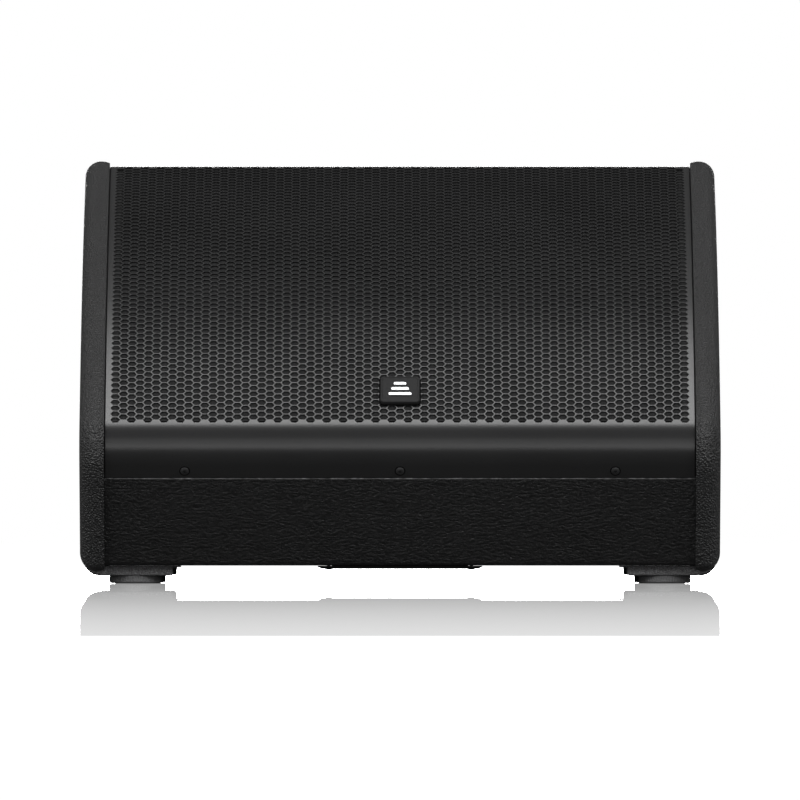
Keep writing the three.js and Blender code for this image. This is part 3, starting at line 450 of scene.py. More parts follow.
def apply_modifiers(piece):
    """Makes a piece's mesh what its modifiers show."""
    bpy.context.view_layer.update()
    shown = piece.evaluated_get(bpy.context.evaluated_depsgraph_get())
    mesh, old = bpy.data.meshes.new_from_object(shown), piece.data
    piece.modifiers.clear()
    piece.data = mesh
    bpy.data.meshes.remove(old)


def boolean(piece, other, operation):
    """piece joined with or cut by other, which is used up."""
    modifier = piece.modifiers.new("cut", "BOOLEAN")
    modifier.operation = operation
    modifier.solver = "EXACT"
    modifier.object = other
    apply_modifiers(piece)
    bpy.data.objects.remove(other)


def joined(name, parts):
    """Several closed meshes as one piece, each keeping its own material."""
    bm = bmesh.new()
    finishes = []
    for part in parts:
        slot = {}
        for i, m in enumerate(part.data.materials):
            if m not in finishes:
                finishes.append(m)
            slot[i] = finishes.index(m)
        start = len(bm.faces)
        bm.from_mesh(part.data)
        bm.faces.ensure_lookup_table()
        for face in bm.faces[start:]:
            face.material_index = slot.get(face.material_index, 0)
    mesh = bpy.data.meshes.new(name)
    bm.to_mesh(mesh)
    bm.free()
    for m in finishes:
        mesh.materials.append(m)
    for part in parts:
        bpy.data.objects.remove(part)
    return linked(name, mesh)


def put(piece, matrix):
    piece.data.transform(matrix)
    piece.data.update()
    return piece


def at(x, y, z=0.0):
    return Matrix.Translation((x, y, z))


def settle(piece, body, slot, *nodes):
    """A finished piece rides on its body and stands for CAD nodes; slot is not used."""
    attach(piece, body)
    if nodes:
        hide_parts(*nodes)
    return piece


# ---------------- cheeks

EDGE_ROUND, FOOT_CORNER_ROUND = 15 * MM, 17.5 * MM
REAR_BLEND = 110 * MM  # how far up the rear the foot corner's rounding fades out
APEX_IN, APEX_DROP = 7.8 * MM, 1.4 * MM
SIDE_BOARD, WEB, HOLLOW, LIP = 15 * MM, 4 * MM, 6 * MM, 1.8 * MM
GAP = 0.3 * MM
POCKET = {"y": 325 * MM, "z": 150 * MM, "length": 150 * MM, "mouth": 50 * MM, "height": 70 * MM}
POCKET_DEPTH, POCKET_WALL, POCKET_LIP = 40 * MM, 3 * MM, 10 * MM
FOOT_X = 248 * MM
FOOT_Y = {"front": 92 * MM, "rear": 500 * MM}
BLOCK = {"inner": 213 * MM, "outer": 288 * MM, "length": 52 * MM, "bottom": 7.22 * MM, "top": 16.2 * MM}
BLOCK_FLANGE = 1.4 * MM
RIM_RISE, RIM_TURN = 5, 14
BLOCK_ROUND, CURL, CURL_CENTRE = 2.7 * MM, 15.3 * MM, 281.5 * MM
POCKET_FLARE = 4 * MM


def edge_radius(s):
    """The rolled edge's radius: larger at the foot of the front and along the bottom."""
    front, rear_foot = LEG["front"], LEG["rear_foot"]
    past_front = (s - front.begin) / front.length
    before_rear = (rear_foot.begin - s) / REAR_BLEND
    t = max(0, min(1, past_front, before_rear))
    return FOOT_CORNER_ROUND + (EDGE_ROUND - FOOT_CORNER_ROUND) * t * t * (3 - 2 * t)


def cheek_section(s):
    """(x, offset) pairs round the rim at s, from the hollow's floor to the outer face."""
    inner = BOARD_HALF + GAP
    board = inner + SIDE_BOARD + GAP
    radius = edge_radius(s)
    rim = PROUD - APEX_DROP
    foot = inner + 0.7 * MM
    section = [
        (HALF - WEB, -HOLLOW), (board, -HOLLOW), (board, -LIP), (inner, -LIP),
        (inner, rim - 0.6 * MM), (inner + 0.2 * MM, rim - 0.15 * MM), (foot, rim),
    ]
    apex = inner + APEX_IN
    for i in range(1, RIM_RISE + 1):
        t = i / RIM_RISE
        section.append((foot + (apex - foot) * t, PROUD - APEX_DROP * (1 - t) ** 2))
    start = max(apex + 0.2 * MM, HALF - radius)
    for sine, fall in quarter(RIM_TURN):
        section.append((HALF - (HALF - start) * (1 - sine), PROUD - radius * fall))
    for more in (0.6 * MM, 2 * MM):
        section.append((HALF, PROUD - radius - more))
    return section


def inside_corners(s, n):
    """on_line, held at the mitre where the outline's lower corners are too tight to offset."""
    for name in ("front_foot", "rear_foot"):
        leg = LEG[name]
        half_turn = math.radians(abs(leg.turn)) / 2
        radius = leg.length / (2 * half_turn)
        spare = -n - radius
        if spare <= 0:
            continue
        reach = leg.length / 2 + spare * math.tan(half_turn)
        away = abs(s - leg.begin - leg.length / 2)
        if min(away, LINE_LENGTH - away) <= reach:
            return on_line(leg.begin + leg.length / 2, -radius - spare / math.cos(half_turn))
    return on_line(s, n)


def cheek_shell(name, side):
    places = stations(LEG)
    sections = [cheek_section(s) for s in places]
    rings = []
    for k in range(len(sections[0])):
        ring = []
        for s, section in zip(places, sections):
            x, offset = section[k]
            place = inside_corners(s, offset)
            ring.append(Vector((side * x, place.x, place.y)))
        rings.append(ring)
    return outward(welded(mesh_piece(name, *loft(rings), "cheek")))


def pocket_block(side, levels, grow_z=0.0):
    """A rounded slab across x; levels are (x, grow) pairs, and grow widens it all round."""
    y, z = POCKET["y"] + SHIFT, POCKET["z"]
    height = POCKET["mouth"] + grow_z
    rings = []
    for x, grow in levels:
        flat = rectangle_ring(
            POCKET["length"] + 2 * grow, height + 2 * grow, 14 * MM + grow, 0, 64, y, z + height / 2,
        )
        rings.append([Vector((side * x, p.x, p.y)) for p in flat])
    return ring_piece("pocket", rings, "cheek")


def slab(bounds, bevel, finish, segments=3):
    """A block with rounded edges, from (x0, x1, y0, y1, z0, z1) and a bevel in millimetres."""
    x0, x1, y0, y1, z0, z1 = (v * MM for v in bounds)
    bm = bmesh.new()
    bmesh.ops.create_cube(bm, size=1)
    size = Vector((x1 - x0, y1 - y0, z1 - z0))
    centre = Vector((x0 + x1, y0 + y1, z0 + z1)) / 2
    for v in bm.verts:
        v.co = Vector((v.co.x * size.x, v.co.y * size.y, v.co.z * size.z)) + centre
    bmesh.ops.bevel(bm, geom=bm.edges, offset=bevel * MM, segments=segments, profile=0.5, affect="EDGES")
    mesh = bpy.data.meshes.new("slab")
    bm.to_mesh(mesh)
    bm.free()
    mesh.materials.append(FINISH[finish])
    return linked("slab", mesh)


def foot_block(side, y0, y1):
    """The block that a foot stands on; its outer end carries on the cheek's rounded corner."""
    low, high, inner = BLOCK["bottom"], BLOCK["top"], BLOCK["inner"]
    section = []
    for x, radius, start, step, count in ((inner + BLOCK_ROUND, BLOCK_ROUND, 180, 22.5, 5),
                                          (CURL_CENTRE, CURL, -90, 9, 8)):
        turns = [ray(start + step * i) * radius for i in range(count)]
        section += [(x + turn.x, low + radius + turn.y) for turn in turns]
    section += [(section[-1][0], high), (inner, high)]
    middle = ((inner + CURL_CENTRE) / 2, high)
    rings = []
    for y, inset in ((y0, 1.6), (y0 + 0.5 * MM, 0.6), (y0 + 1.8 * MM, 0),
                     (y1 - 1.8 * MM, 0), (y1 - 0.5 * MM, 0.6), (y1, 1.6)):
        rings.append([
            Vector((side * (x + (middle[0] - x) * inset * 0.02), y, z + (middle[1] - z) * inset * 0.12))
            for x, z in section
        ])
    return ring_piece("foot_block", rings, "cheek")


def make_cheek(name, side):
    shell = cheek_shell(f"{name}_cheek_moulding", side)
    back = HALF - POCKET_DEPTH
    full = POCKET["height"] - POCKET["mouth"]
    body = pocket_block(side, [(back - POCKET_WALL, POCKET_WALL), (HALF - 1 * MM, POCKET_WALL)], full)
    boolean(shell, body, "UNION")
    floor = [(back, -2 * MM), (back + 2 * MM, 0)]
    upper = pocket_block(side, [*floor, (HALF - POCKET_LIP - 2 * MM, 0), (HALF - POCKET_LIP, -2 * MM)], full)
    boolean(shell, upper, "DIFFERENCE")
    flare = [*floor, (HALF - POCKET_FLARE, 0)]
    flare += [(HALF - POCKET_FLARE + POCKET_FLARE * sine, POCKET_FLARE * fall)
              for sine, fall in quarter(6)[1:]]
    flare.append((HALF + 1 * MM, POCKET_FLARE))
    boolean(shell, pocket_block(side, flare), "DIFFERENCE")
    for end in FOOT_Y.values():
        y0 = end + SHIFT - BLOCK["length"] / 2
        y1 = y0 + BLOCK["length"]
        boolean(shell, foot_block(side, y0, y1), "UNION")
        xs = sorted((side * (BLOCK["inner"] - 4 * MM), side * (BLOCK["outer"] - 8 * MM)))
        bounds = (*xs, y0 + 2 * MM, y1 + 2 * MM, BLOCK["top"] - BLOCK_FLANGE, BLOCK["top"])
        boolean(shell, slab([v / MM for v in bounds], 0.6, "cheek"), "UNION")
    finish_blocks(shell.data)
    soften(shell.data, 32)
    return settle(shell, "cabinet", "cheek_plastic", f"{name}_cheek")


def finish_blocks(mesh):
    """The blocks under the foot corners have a coarser skin than the cheek, ten times lighter: painted
    highlight for the light on their front faces.
    """
    mesh.materials.append(FINISH["block"])
    for face in mesh.polygons:
        low = all(mesh.vertices[i].co.z < BLOCK["top"] + 1e-5 for i in face.vertices)
        if low and abs(face.center.x) < BOARD_HALF + GAP:
            face.material_index = len(mesh.materials) - 1


# ---------------- perforated grille

PITCH = 8.79 * MM
HOLE = 7.95 * MM  # across the flats
CORNER = PITCH / math.sqrt(3)
COLUMNS, ROWS = 71, 62
STEEL = 1.15 * MM
LIP_RUN = 12.5 * MM
REAR_FLANGE = 20 * MM
FOAM_TOP, FOAM_BOTTOM = -1.5 * MM, -6.9 * MM
MARGIN_BELOW, MARGIN_ABOVE = 1.5 * MM, 1.2 * MM  # plain steel beyond the first and the last row
GRILLE_START = LEG["lower"].begin
SHEET_HALF = BOARD_HALF + GAP - 0.02 * MM
ROLL, ROLL_DROP = 1.3 * MM, 1.1 * MM  # the sheet's side edges turn down against the cheeks


class Sheet:
    """A flat pattern in (u, v), u across and v along the line, given thickness on the curve."""

    def __init__(self):
        self.points, self.index, self.faces = [], {}, []

    def vertex(self, u, v):
        key = (round(u * 1e6), round(v * 1e6))
        if key not in self.index:
            self.index[key] = len(self.points)
            self.points.append((u, v))
        return self.index[key]

    def face(self, *corners):
        self.faces.append(tuple(self.vertex(*c) for c in corners))

    def thick(self, top, bottom):
        """(verts, faces) of the sheet between two offsets from the line."""
        verts = []
        for n in (top, bottom):
            for u, v in self.points:
                drop = ROLL_DROP if abs(u) > SHEET_HALF - ROLL / 2 else 0
                place = on_line(v, n - drop)
                verts.append((u, place.x, place.y))
        count = len(self.points)
        edges = {}
        faces = []
        for face in self.faces:
            faces.append(face)
            faces.append(tuple(count + i for i in reversed(face)))
            for a, b in zip(face, face[1:] + face[:1]):
                edges[(a, b)] = edges.get((a, b), 0) + 1
        for a, b in edges:
            if (b, a) not in edges:
                faces.append((b, a, count + a, count + b))
        return verts, faces


def hexagon(u, v, corner):
    return [(u + corner * math.cos(math.radians(60 * k)), v + corner * math.sin(math.radians(60 * k)))
            for k in range(6)]


def cell_centre(column, row):
    u = (column - COLUMNS // 2) * 1.5 * CORNER
    return u, GRILLE_START + row * PITCH + (PITCH / 2 if column % 2 else 0)


def perforated_sheet():
    sheet = Sheet()
    hole = HOLE / math.sqrt(3)
    for column in range(COLUMNS):
        for row in range(ROWS):
            u, v = cell_centre(column, row)
            cell, gap = hexagon(u, v, CORNER), hexagon(u, v, hole)
            for k in range(6):
                j = (k + 1) % 6
                sheet.face(cell[k], cell[j], gap[j], gap[k])
    foot = GRILLE_START - PITCH / 2 - MARGIN_BELOW
    crown = GRILLE_START + ROWS * PITCH + MARGIN_ABOVE
    side_margins(sheet)
    bottom, top = edge_runs()
    for run, level in ((bottom, foot), (top, crown)):
        run[:0] = [(-SHEET_HALF, run[0][1]), (ROLL - SHEET_HALF, run[0][1])]
        run += [(SHEET_HALF - ROLL, run[-1][1]), (SHEET_HALF, run[-1][1])]
        for a, b in zip(run, run[1:]):
            corners = [a, b, (b[0], level), (a[0], level)]
            sheet.face(*(reversed(corners) if level < a[1] else corners))
    nose = stations(["nose", "shoulder"], arc_step=3.0)
    lip = [LEG["nose"].begin - LIP_RUN, LEG["nose"].begin - LIP_RUN / 2]
    lower = lip + [s for s in nose if s < foot - 1 * MM] + [foot]
    grid(sheet, [u for u, _ in bottom], lower)
    bend = [s for s in stations(["rear_bend"], arc_step=7.0) if s > crown + 1 * MM]
    rear = LEG["rear"].begin
    grid(sheet, [u for u, _ in top], [crown, *bend, rear, rear + REAR_FLANGE])
    return sheet


def grid(sheet, columns, levels):
    for v0, v1 in zip(levels, levels[1:]):
        for u0, u1 in zip(columns, columns[1:]):
            sheet.face((u0, v0), (u1, v0), (u1, v1), (u0, v1))


def edge_runs():
    """The cells' lowest and highest corners, from left to right."""
    bottom, top = [], []
    for column in range(COLUMNS):
        low = hexagon(*cell_centre(column, 0), CORNER)
        high = hexagon(*cell_centre(column, ROWS - 1), CORNER)
        bottom += [low[4], low[5]]
        top += [high[2], high[1]]
    return tidy_run(bottom), tidy_run(top)


def tidy_run(run):
    kept = [run[0]]
    for p in run[1:]:
        if abs(p[0] - kept[-1][0]) > 1e-7 or abs(p[1] - kept[-1][1]) > 1e-7:
            kept.append(p)
    return kept


def side_margins(sheet):
    for column, side, corners in ((0, -1, (4, 3, 2)), (COLUMNS - 1, 1, (5, 0, 1))):
        bend, edge = side * (SHEET_HALF - ROLL), side * SHEET_HALF
        for row in range(ROWS):
            cell = hexagon(*cell_centre(column, row), CORNER)
            run = [cell[k] for k in corners]
            for a, b in zip(run, run[1:]):
                for strip in ([a, b, (bend, b[1]), (bend, a[1])],
                              [(bend, a[1]), (bend, b[1]), (edge, b[1]), (edge, a[1])]):
                    sheet.face(*(strip if side < 0 else reversed(strip)))


def make_grille():
    piece = outward(mesh_piece("perforated_grille", *perforated_sheet().thick(0.0, -STEEL), "steel", 30))
    soften(piece.data, 30)
    return settle(piece, "cabinet", "grille_steel", "grille")


def make_foam():
    sheet = Sheet()
    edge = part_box("grille_foam")[1][0]
    columns = [edge * (-1 + 2 * i / 12) for i in range(13)]
    grid(sheet, columns, stations(["lower", "upper"], run_step=9 * MM) + [LEG["rear_bend"].begin])
    piece = outward(mesh_piece("backing_foam", *sheet.thick(FOAM_TOP, FOAM_BOTTOM), "foam"))
    return settle(piece, "cabinet", "foam", "grille_foam")


# ---------------- boards

FRONT_PROUD, FRONT_BACK, FRONT_REBATE = 1 * MM, 17 * MM, 2.1 * MM
# the chamfer along the front panel's top edge, whose faces carry the painted highlight
HIGHLIGHT_CHAMFER = 0.4 * MM


def across(name, section, half, finish, bevel):
    """A (y, z) section drawn out between two planes of x, with its edges eased."""
    rings = [[Vector((x, p.x, p.y)) for p in section] for x in (-half, half)]
    piece = ring_piece(name, rings, finish)
    ease(piece, bevel)
    return piece


def ease(piece, width):
    modifier = piece.modifiers.new("eased_edges", "BEVEL")
    modifier.width = width
    modifier.segments = 2
    modifier.limit_method = "ANGLE"
    modifier.angle_limit = math.radians(30)


def make_front_panel():
    front = LEG["front"]
    low, high = front.begin, front.begin + front.length
    lip = LEG["nose"].begin - LIP_RUN - 0.6 * MM
    section = [on_line(s, FRONT_PROUD) for s in stations(["front_foot"], arc_step=6) if s > 0]
    section = [p for p in section if p.y > BASE]
    section += [on_line(low, FRONT_PROUD), on_line(lip - HIGHLIGHT_CHAMFER, FRONT_PROUD)]
    highlight_start = len(section) - 1
    section += [on_line(lip, FRONT_PROUD - HIGHLIGHT_CHAMFER), on_line(lip, -FRONT_REBATE)]
    section += [on_line(high - 0.5 * MM, -FRONT_REBATE), on_line(high - 0.5 * MM, -FRONT_BACK)]
    back = on_line(low, -FRONT_BACK)
    section += [back, Vector((back.x + 2 * MM, BASE + 0.2 * MM))]
    piece = across("textured_front_panel", section, BOARD_HALF, "paint", 0.15 * MM)
    # the top edge's chamfer faces take the painted highlight
    piece.data.materials.append(FINISH["edge_highlight_paint"])
    edge = {round(p.x, 5) for p in section[highlight_start:highlight_start + 3]}
    for face in piece.data.polygons:
        ys = {round(piece.data.vertices[i].co.y, 5) for i in face.vertices}
        if len(face.vertices) == 4 and ys <= edge:
            face.material_index = 1
    return settle(piece, "cabinet", "cabinet_paint", "front_panel")


# ---------------- screws, badge and feet

EDGE, SCREW_POINTS = 0.15, 36  # a head's straight rim in mm, points round a screw


def hex_radius(flats):
    """The radius of a hexagon at an angle, for a recess whose ring has many points."""
    return lambda a: flats / 2 / math.cos((a + math.pi / 6) % (math.pi / 3) - math.pi / 6)


def screw(name, head, rise, shank, length, finish="screw"):
    """A button-headed screw with a hexagonal recess, from millimetres; z = 0 is under its head."""
    dome = [(head * math.cos(a), EDGE + (rise - EDGE) * math.sin(a))
            for a in (math.radians(15 * i) for i in range(5))]
    rings = circles([
        (shank * 0.8, -length), (shank, -length + shank * 0.3), (shank, 0), (head, 0), *dome,
        (head * 0.5, rise),
    ], SCREW_POINTS)
    socket = hex_radius(head * 0.72 * MM)
    rings += [circle_ring(socket, z * MM, SCREW_POINTS) for z in (rise, rise * 0.25)]
    return ring_piece(name, rings, finish, 25)


def flipped(x, y, z):
    """A place for something that faces down."""
    return at(x, y, z) @ Matrix.Rotation(math.pi, 4, "X")


LIP_SCREW_HEIGHT = 105.2 * MM
# a thin black ring round each lip screw's head: painted shade where the head sits in its recess
SHADE_RING_PROFILE = ((5.0, -0.2), (5.0, 0.1), (4.7, 0.35), (4.3, 0.25), (2.4, 0.1), (2.4, -0.2))


def make_lip_screws():
    here = front_frame(LIP_SCREW_HEIGHT)
    low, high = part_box("right_grille_screw")
    spacing = (low[0] + high[0]) / 2
    for name, x in (("left", -spacing), ("middle", 0.0), ("right", spacing)):
        head = screw(f"{name}_lip_screw", 3.95, 1.5, 1.9, 11, "worn_screw")
        put(head, here @ at(x, 0, 0.2 * MM))
        settle(head, "cabinet", "black_screw", f"{name}_grille_screw")
        # painted shade round the head
        cup = turned_piece(f"{name}_lip_screw_shade_ring", SHADE_RING_PROFILE, "gasket")
        settle(put(cup, here @ at(x, 0)), "cabinet", "grille_steel")


BADGE_ALONG = 43 * MM
BADGE_WIDTH, BADGE_LENGTH, BADGE_THICK = 36.7, 40, 2.5  # mm
# (inset, height) up the badge's edge and up a bar's, and (growth, corner, height) of the black plate under
# it, whose rim is painted shade round the badge, in mm
BADGE_EDGE = ((0, 0), (0, 1.7), (0.25, 2.25), (0.9, 2.5), (1.9, 2.5), (2.2, 2.1), (3.0, 2.0))
BAR_EDGE = ((0, -0.6), (0, 0.7), (0.3, 1.0), (0.9, 1.1))
SHADE_PLATE_EDGE = ((2.6, 5, -0.4), (2.6, 5, 0.35), (2.0, 4.7, 0.5))


def badge_frame():
    leg = LEG["lower"]
    _, heading, out = on_leg(leg, BADGE_ALONG)
    place = on_line(leg.begin + BADGE_ALONG, 0.6 * MM)
    y = ray(heading)
    return placed((1, 0, 0), (0, y.x, y.y), (0, out.x, out.y), (0, place.x, place.y))


def make_badge():
    here = badge_frame()
    # a black plate a little larger than the badge, painted shade round its edge
    gasket = ring_piece("badge_shade_plate", [
        rectangle(BADGE_WIDTH + grow, BADGE_LENGTH + grow, corner, z) for grow, corner, z in SHADE_PLATE_EDGE
    ], "gasket")
    settle(put(gasket, here), "cabinet", "foam")
    face = ring_piece("badge_face", [
        rectangle(BADGE_WIDTH - 2 * inset, BADGE_LENGTH - 2 * inset, 4 - inset * 0.7, z)
        for inset, z in BADGE_EDGE
    ], "badge")
    settle(put(face, here), "cabinet", "badge", "badge_plate")
    bars = []
    for width, y in ((22, -8), (17, 0), (12, 8)):
        bars.append(ring_piece("bar", [
            rectangle(width - 2 * g, 4 - 2 * g, 1.9 - g, z, 32, 0, y) for g, z in BAR_EDGE
        ], "emblem"))
    emblem = put(joined("badge_bars", bars), here @ at(0, 0, BADGE_THICK * MM))
    settle(emblem, "cabinet", "emblem", "badge_emblem")


FOOT_RADIUS, FOOT_HOLE, FOOT_RIBS, FOOT_POINTS = 24.75, 3, 60, 360
# (radius, z, depth of the ribs' grooves) from the bolt's seat to the top, in mm
FOOT_PROFILE = (
    (6.2, 4.0, 0), (6.2, 0.5, 0), (6.7, 0.0, 0), (14.0, 0.0, 0), (14.6, 0.6, 0), (16.4, 0.6, 0),
    (17.0, 0.0, 0), (22.6, 0.0, 0), (23.9, 0.35, 0), (24.6, 1.1, 0), (24.75, 2.0, 0),
    (24.75, 2.3, 0.45), (24.75, 6.0, 0.45), (24.75, 6.5, 0), (24.6, 7.0, 0), (24.2, 7.2, 0),
)


def make_foot(end, name, side):
    node = f"{end}_{name}_foot"
    low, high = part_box(node)
    height = high[2]
    scale = (high[0] - low[0]) / 2 / (FOOT_RADIUS * MM)
    rings = [circle_ring(FOOT_HOLE * MM, 4.0 * MM, FOOT_POINTS)]
    for r, z, groove in FOOT_PROFILE:
        shape = fluted(r * MM * scale, groove * MM, FOOT_RIBS, 2)
        rings.append(circle_ring(shape, min(z * MM, height), FOOT_POINTS))
    rings.append(circle_ring(FOOT_HOLE * MM, height, FOOT_POINTS))
    piece = hoop_piece(f"{end}_{name}_rubber_foot", rings, "rubber")
    x, y = side * FOOT_X, FOOT_Y[end] + SHIFT
    settle(put(piece, at(x, y)), "cabinet", "foot_rubber", node)
    bolt = screw(f"{end}_{name}_foot_bolt", 5.1, 2.4, 2.4, 11)
    settle(put(bolt, flipped(x, y, 3.8 * MM)), "cabinet", "black_screw", f"{node}_screw")


# ---------------- handle under the bottom

HANDLE_Y = 125 * MM
# in mm: the flange, the cup, its height and wall, the grip and the flange's thickness
HANDLE, CUP = (154.6, 112), (122, 82)
CUP_RISE, CUP_WALL, GRIP, FLANGE = 45, 3, 8, 2.9


def make_handle():
    """A cup with a flange below and a grip bar across it; ring and flange take millimetres."""
    y, top = (HANDLE_Y + SHIFT) / MM, (BASE - GAP) / MM

    def ring(grow, drop, corner):
        return rectangle(CUP[0] + 2 * grow, CUP[1] + 2 * grow, corner, top + drop, 96, 0, y)

    def flange(inset, drop):
        return rectangle(HANDLE[0] - 2 * inset, HANDLE[1] - 2 * inset, 20 - inset, top - drop, 96, 0, y)
    rings = [ring(CUP_WALL - 4, CUP_RISE, 12), ring(CUP_WALL, CUP_RISE - 4, 15), ring(CUP_WALL, 0, 15)]
    rings.append(flange(0, 0))
    rings += [flange(8 * fall * 0.9, FLANGE * sine) for sine, fall in quarter(6)]
    rings += [ring(3 * (1 - sine), 3 * fall - FLANGE, 15) for sine, fall in quarter(5)]
    rings += [ring(-0.5, CUP_RISE - 12, 12), ring(-2, CUP_RISE - 6, 11), ring(-6, CUP_RISE - CUP_WALL, 8)]
    cup = ring_piece("underside_handle", rings, "plastic")
    bar = []
    for i in range(25):
        t = i / 24
        x = (CUP[0] + 2) * (t - 0.5)
        swell = GRIP * (0.86 + 0.14 * math.sin(math.pi * t)) + 3 * max(0, abs(2 * t - 1) - 0.88) / 0.12
        bar.append([
            Vector((x, y + swell * math.cos(a), top + GRIP + swell * 0.92 * math.sin(a))) * MM
            for a in (2 * math.pi * k / 32 for k in range(32))
        ])
    boolean(cup, ring_piece("grip", bar, "plastic"), "UNION")
    soften(cup.data, 35)
    settle(cup, "cabinet", "handle_plastic", "bottom_handle")
    heads = []
    for x in (-67, 67):
        for across_flange in (-40, 40):
            place = flipped(x * MM, (y + across_flange) * MM, (top - 2.6) * MM)
            heads.append(put(screw("head", 3.2, 1.2, 1.6, 6), place))
    settle(joined("handle_screws", heads), "cabinet", "black_screw")


# ---------------- the driver's spider

TOP_PLATE_MIDDLE = 97.3 * MM  # how far the top plate's middle is behind the driver's mounting face
# millimetres (radius, depth) round its section; it lies low enough for the cone's whole travel
SPIDER_TOP = [(51.2, -57.6), (56, -56.6), (62, -58.4), (68, -56.6), (74, -58.4), (80, -56.6), (86, -58.4),
              (103, -58.4)]
SPIDER_THICK = 1


def make_spider():
    axis = Vector(next(j["axis"] for j in frame["joints"] if j["name"] == "cone_travel"))
    low, high = (Vector(v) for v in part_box("woofer_top_plate"))
    x = Vector((1, 0, 0))
    here = placed(x, axis.cross(x), axis, (low + high) / 2 + axis * TOP_PLATE_MIDDLE)
    under = [(r, z - SPIDER_THICK) for r, z in reversed(SPIDER_TOP)]
    piece = hoop_piece("corrugated_spider", circles([*SPIDER_TOP, *under], 96), "cloth")
    settle(put(piece, here), "cabinet", "suspension_cloth", "woofer_spider")


# ---------------- rear amplifier panel

TRAY_UP, TRAY_DEPTH, TRAY_WALL = 170 * MM, 40 * MM, 2 * MM
FLOOR = -TRAY_DEPTH + TRAY_WALL + GAP
ROW = -46 * MM
SOCKET_X = {"mains_inlet": -122 * MM, "input_socket": -35 * MM, "link_socket": 2 * MM,
            "network_socket_1": 47 * MM, "network_socket_2": 84 * MM}
SOCKET_WIDTH, SOCKET_HEIGHT, SOCKET_PLATE, SOCKET_BORE, SOCKET_BODY = 26, 31, 2.2, 9.4, 14  # mm
PIN_CIRCLE = 4.6 * MM
# node: its body and the socket it belongs to
LATCHES = {
    "input_latch_tab": ("input_latch", "input_socket"),
    "network_latch_tab_1": ("network_latch_1", "network_socket_1"),
    "network_latch_tab_2": ("network_latch_2", "network_socket_2"),
}


def rear_frame():
    """A frame on the rear face: x to the left, y up the face, z out of it, from the tray's middle."""
    place, heading, out = on_leg(LEG["rear"], 0)
    up = ray(heading + 180)
    foot = place - up * ((place.y - BASE) / up.y)
    centre = foot + up * TRAY_UP
    return placed((-1, 0, 0), (0, up.x, up.y), (0, out.x, out.y), (0, centre.x + SHIFT, centre.y))


REAR = rear_frame()


def socket_shell(name, finish):
    """A panel socket's plate and round body, hollow in front; z = 0 is the back of its plate."""
    def plate(inset, drop):
        return rectangle(SOCKET_WIDTH - 2 * inset, SOCKET_HEIGHT - 2 * inset, 3 - inset, SOCKET_PLATE - drop)
    rings = circles([(11.2, -21), (11.8, -20.4), (11.8, 0)])
    rings += [plate(0, SOCKET_PLATE), plate(0, 0.5), plate(0.15, 0.15), plate(0.5, 0)]
    rings += circles([(r, SOCKET_PLATE + z) for r, z in (
        (11.9, 0), (11.7, 0.6), (11.2, 0.8), (SOCKET_BORE + 0.6, 0.8), (SOCKET_BORE, 0.3),
    )])
    rings += circles([(SOCKET_BORE, -SOCKET_BODY)])
    return ring_piece(name, rings, finish)


def three_pins(z0, z1, radius, start):
    """Round-ended pins on a circle, from millimetres."""
    pins = []
    for a in (start, start + 120, start + 240):
        pin = turned_piece("pin", [
            (radius, z0), (radius, z1 - radius), (radius * 0.8, z1 - radius * 0.4), (radius * 0.35, z1),
        ], "nickel", 20)
        turn = ray(a) * PIN_CIRCLE
        pins.append(put(pin, at(turn.x, turn.y)))
    return pins


def plate_screws():
    return [put(screw("head", 2.6, 1.2, 1.4, 3), at(x * MM, y * MM, (SOCKET_PLATE - 0.1) * MM))
            for x, y in ((-9.5, 12.2), (9.5, -12.2))]


def make_socket(node, insides, finish, slot, tab_slot=False):
    shell = socket_shell(node + "_shell", finish)
    if tab_slot:
        boolean(shell, slab((-4.3, 4.3, 10.6, 14.9, 0.3, 6), 0.3, finish), "DIFFERENCE")
        soften(shell.data, 35)
    whole = joined(node + "_fitted", [shell, *insides, *plate_screws()])
    put(whole, REAR @ at(SOCKET_X[node], ROW, FLOOR))
    settle(whole, "cabinet", slot, node)


def insert_disc(face, finish, holes=()):
    disc = turned_piece("insert", [(9.2, -13.9), (9.2, face - 0.4), (8.8, face), (2.0, face)], finish)
    for hole in holes:
        boolean(disc, hole, "DIFFERENCE")
    soften(disc.data, 35)
    return disc


def make_sockets():
    holes = three_pins(-12, 6, 1.5, 90)
    make_socket("input_socket", [insert_disc(0.9, "insulator", holes)], "nickel", "nickel", True)
    pins = three_pins(-14.5, -1, 1.15, -90)
    make_socket("link_socket", [insert_disc(-12.5, "insulator"), *pins], "nickel", "nickel")
    for n in (1, 2):
        jack = slab((-5.9, 5.9, -4.6, 4.4, -12, 6), 0.3, "insulator")
        key = slab((-3, 3, -6.6, -3, -12, 6), 0.3, "insulator")
        body = insert_disc(0.6, "insulator", [jack, key])
        wires = [slab((1.02 * i - 3.9, 1.02 * i - 3.5, 1.6, 4.2, -11.5, -2), 0.1, "gold", 1)
                 for i in range(8)]
        make_socket(f"network_socket_{n}", [body, *wires], "nickel", "nickel", True)
    blades = [slab((x - 0.6, x + 0.6, y - 2.2, y + 2.2, -12, -2.5), 0.2, "nickel", 1)
              for x, y in ((-4.6, 0), (4.6, 0), (0, 4.6))]
    core = turned_piece("core", [(2.6, -13.9), (2.6, -2), (1.6, -1)], "blue")
    make_socket("mains_inlet", [insert_disc(-10, "blue"), core, *blades], "blue", "mains_plastic")


def make_latches():
    for node, (body, socket) in LATCHES.items():
        tab = slab((-3.9, 3.9, 11, 14.5, 1.9, 4.2), 0.5, "plastic")
        ridges = [slab((-2.9, 2.9, 11.7 + 0.9 * i, 12.1 + 0.9 * i, 3.9, 4.4), 0.12, "plastic", 1)
                  for i in range(3)]
        whole = put(joined(node + "_moulding", [tab, *ridges]), REAR @ at(SOCKET_X[socket], ROW, FLOOR))
        settle(whole, body, "handle_plastic", node)


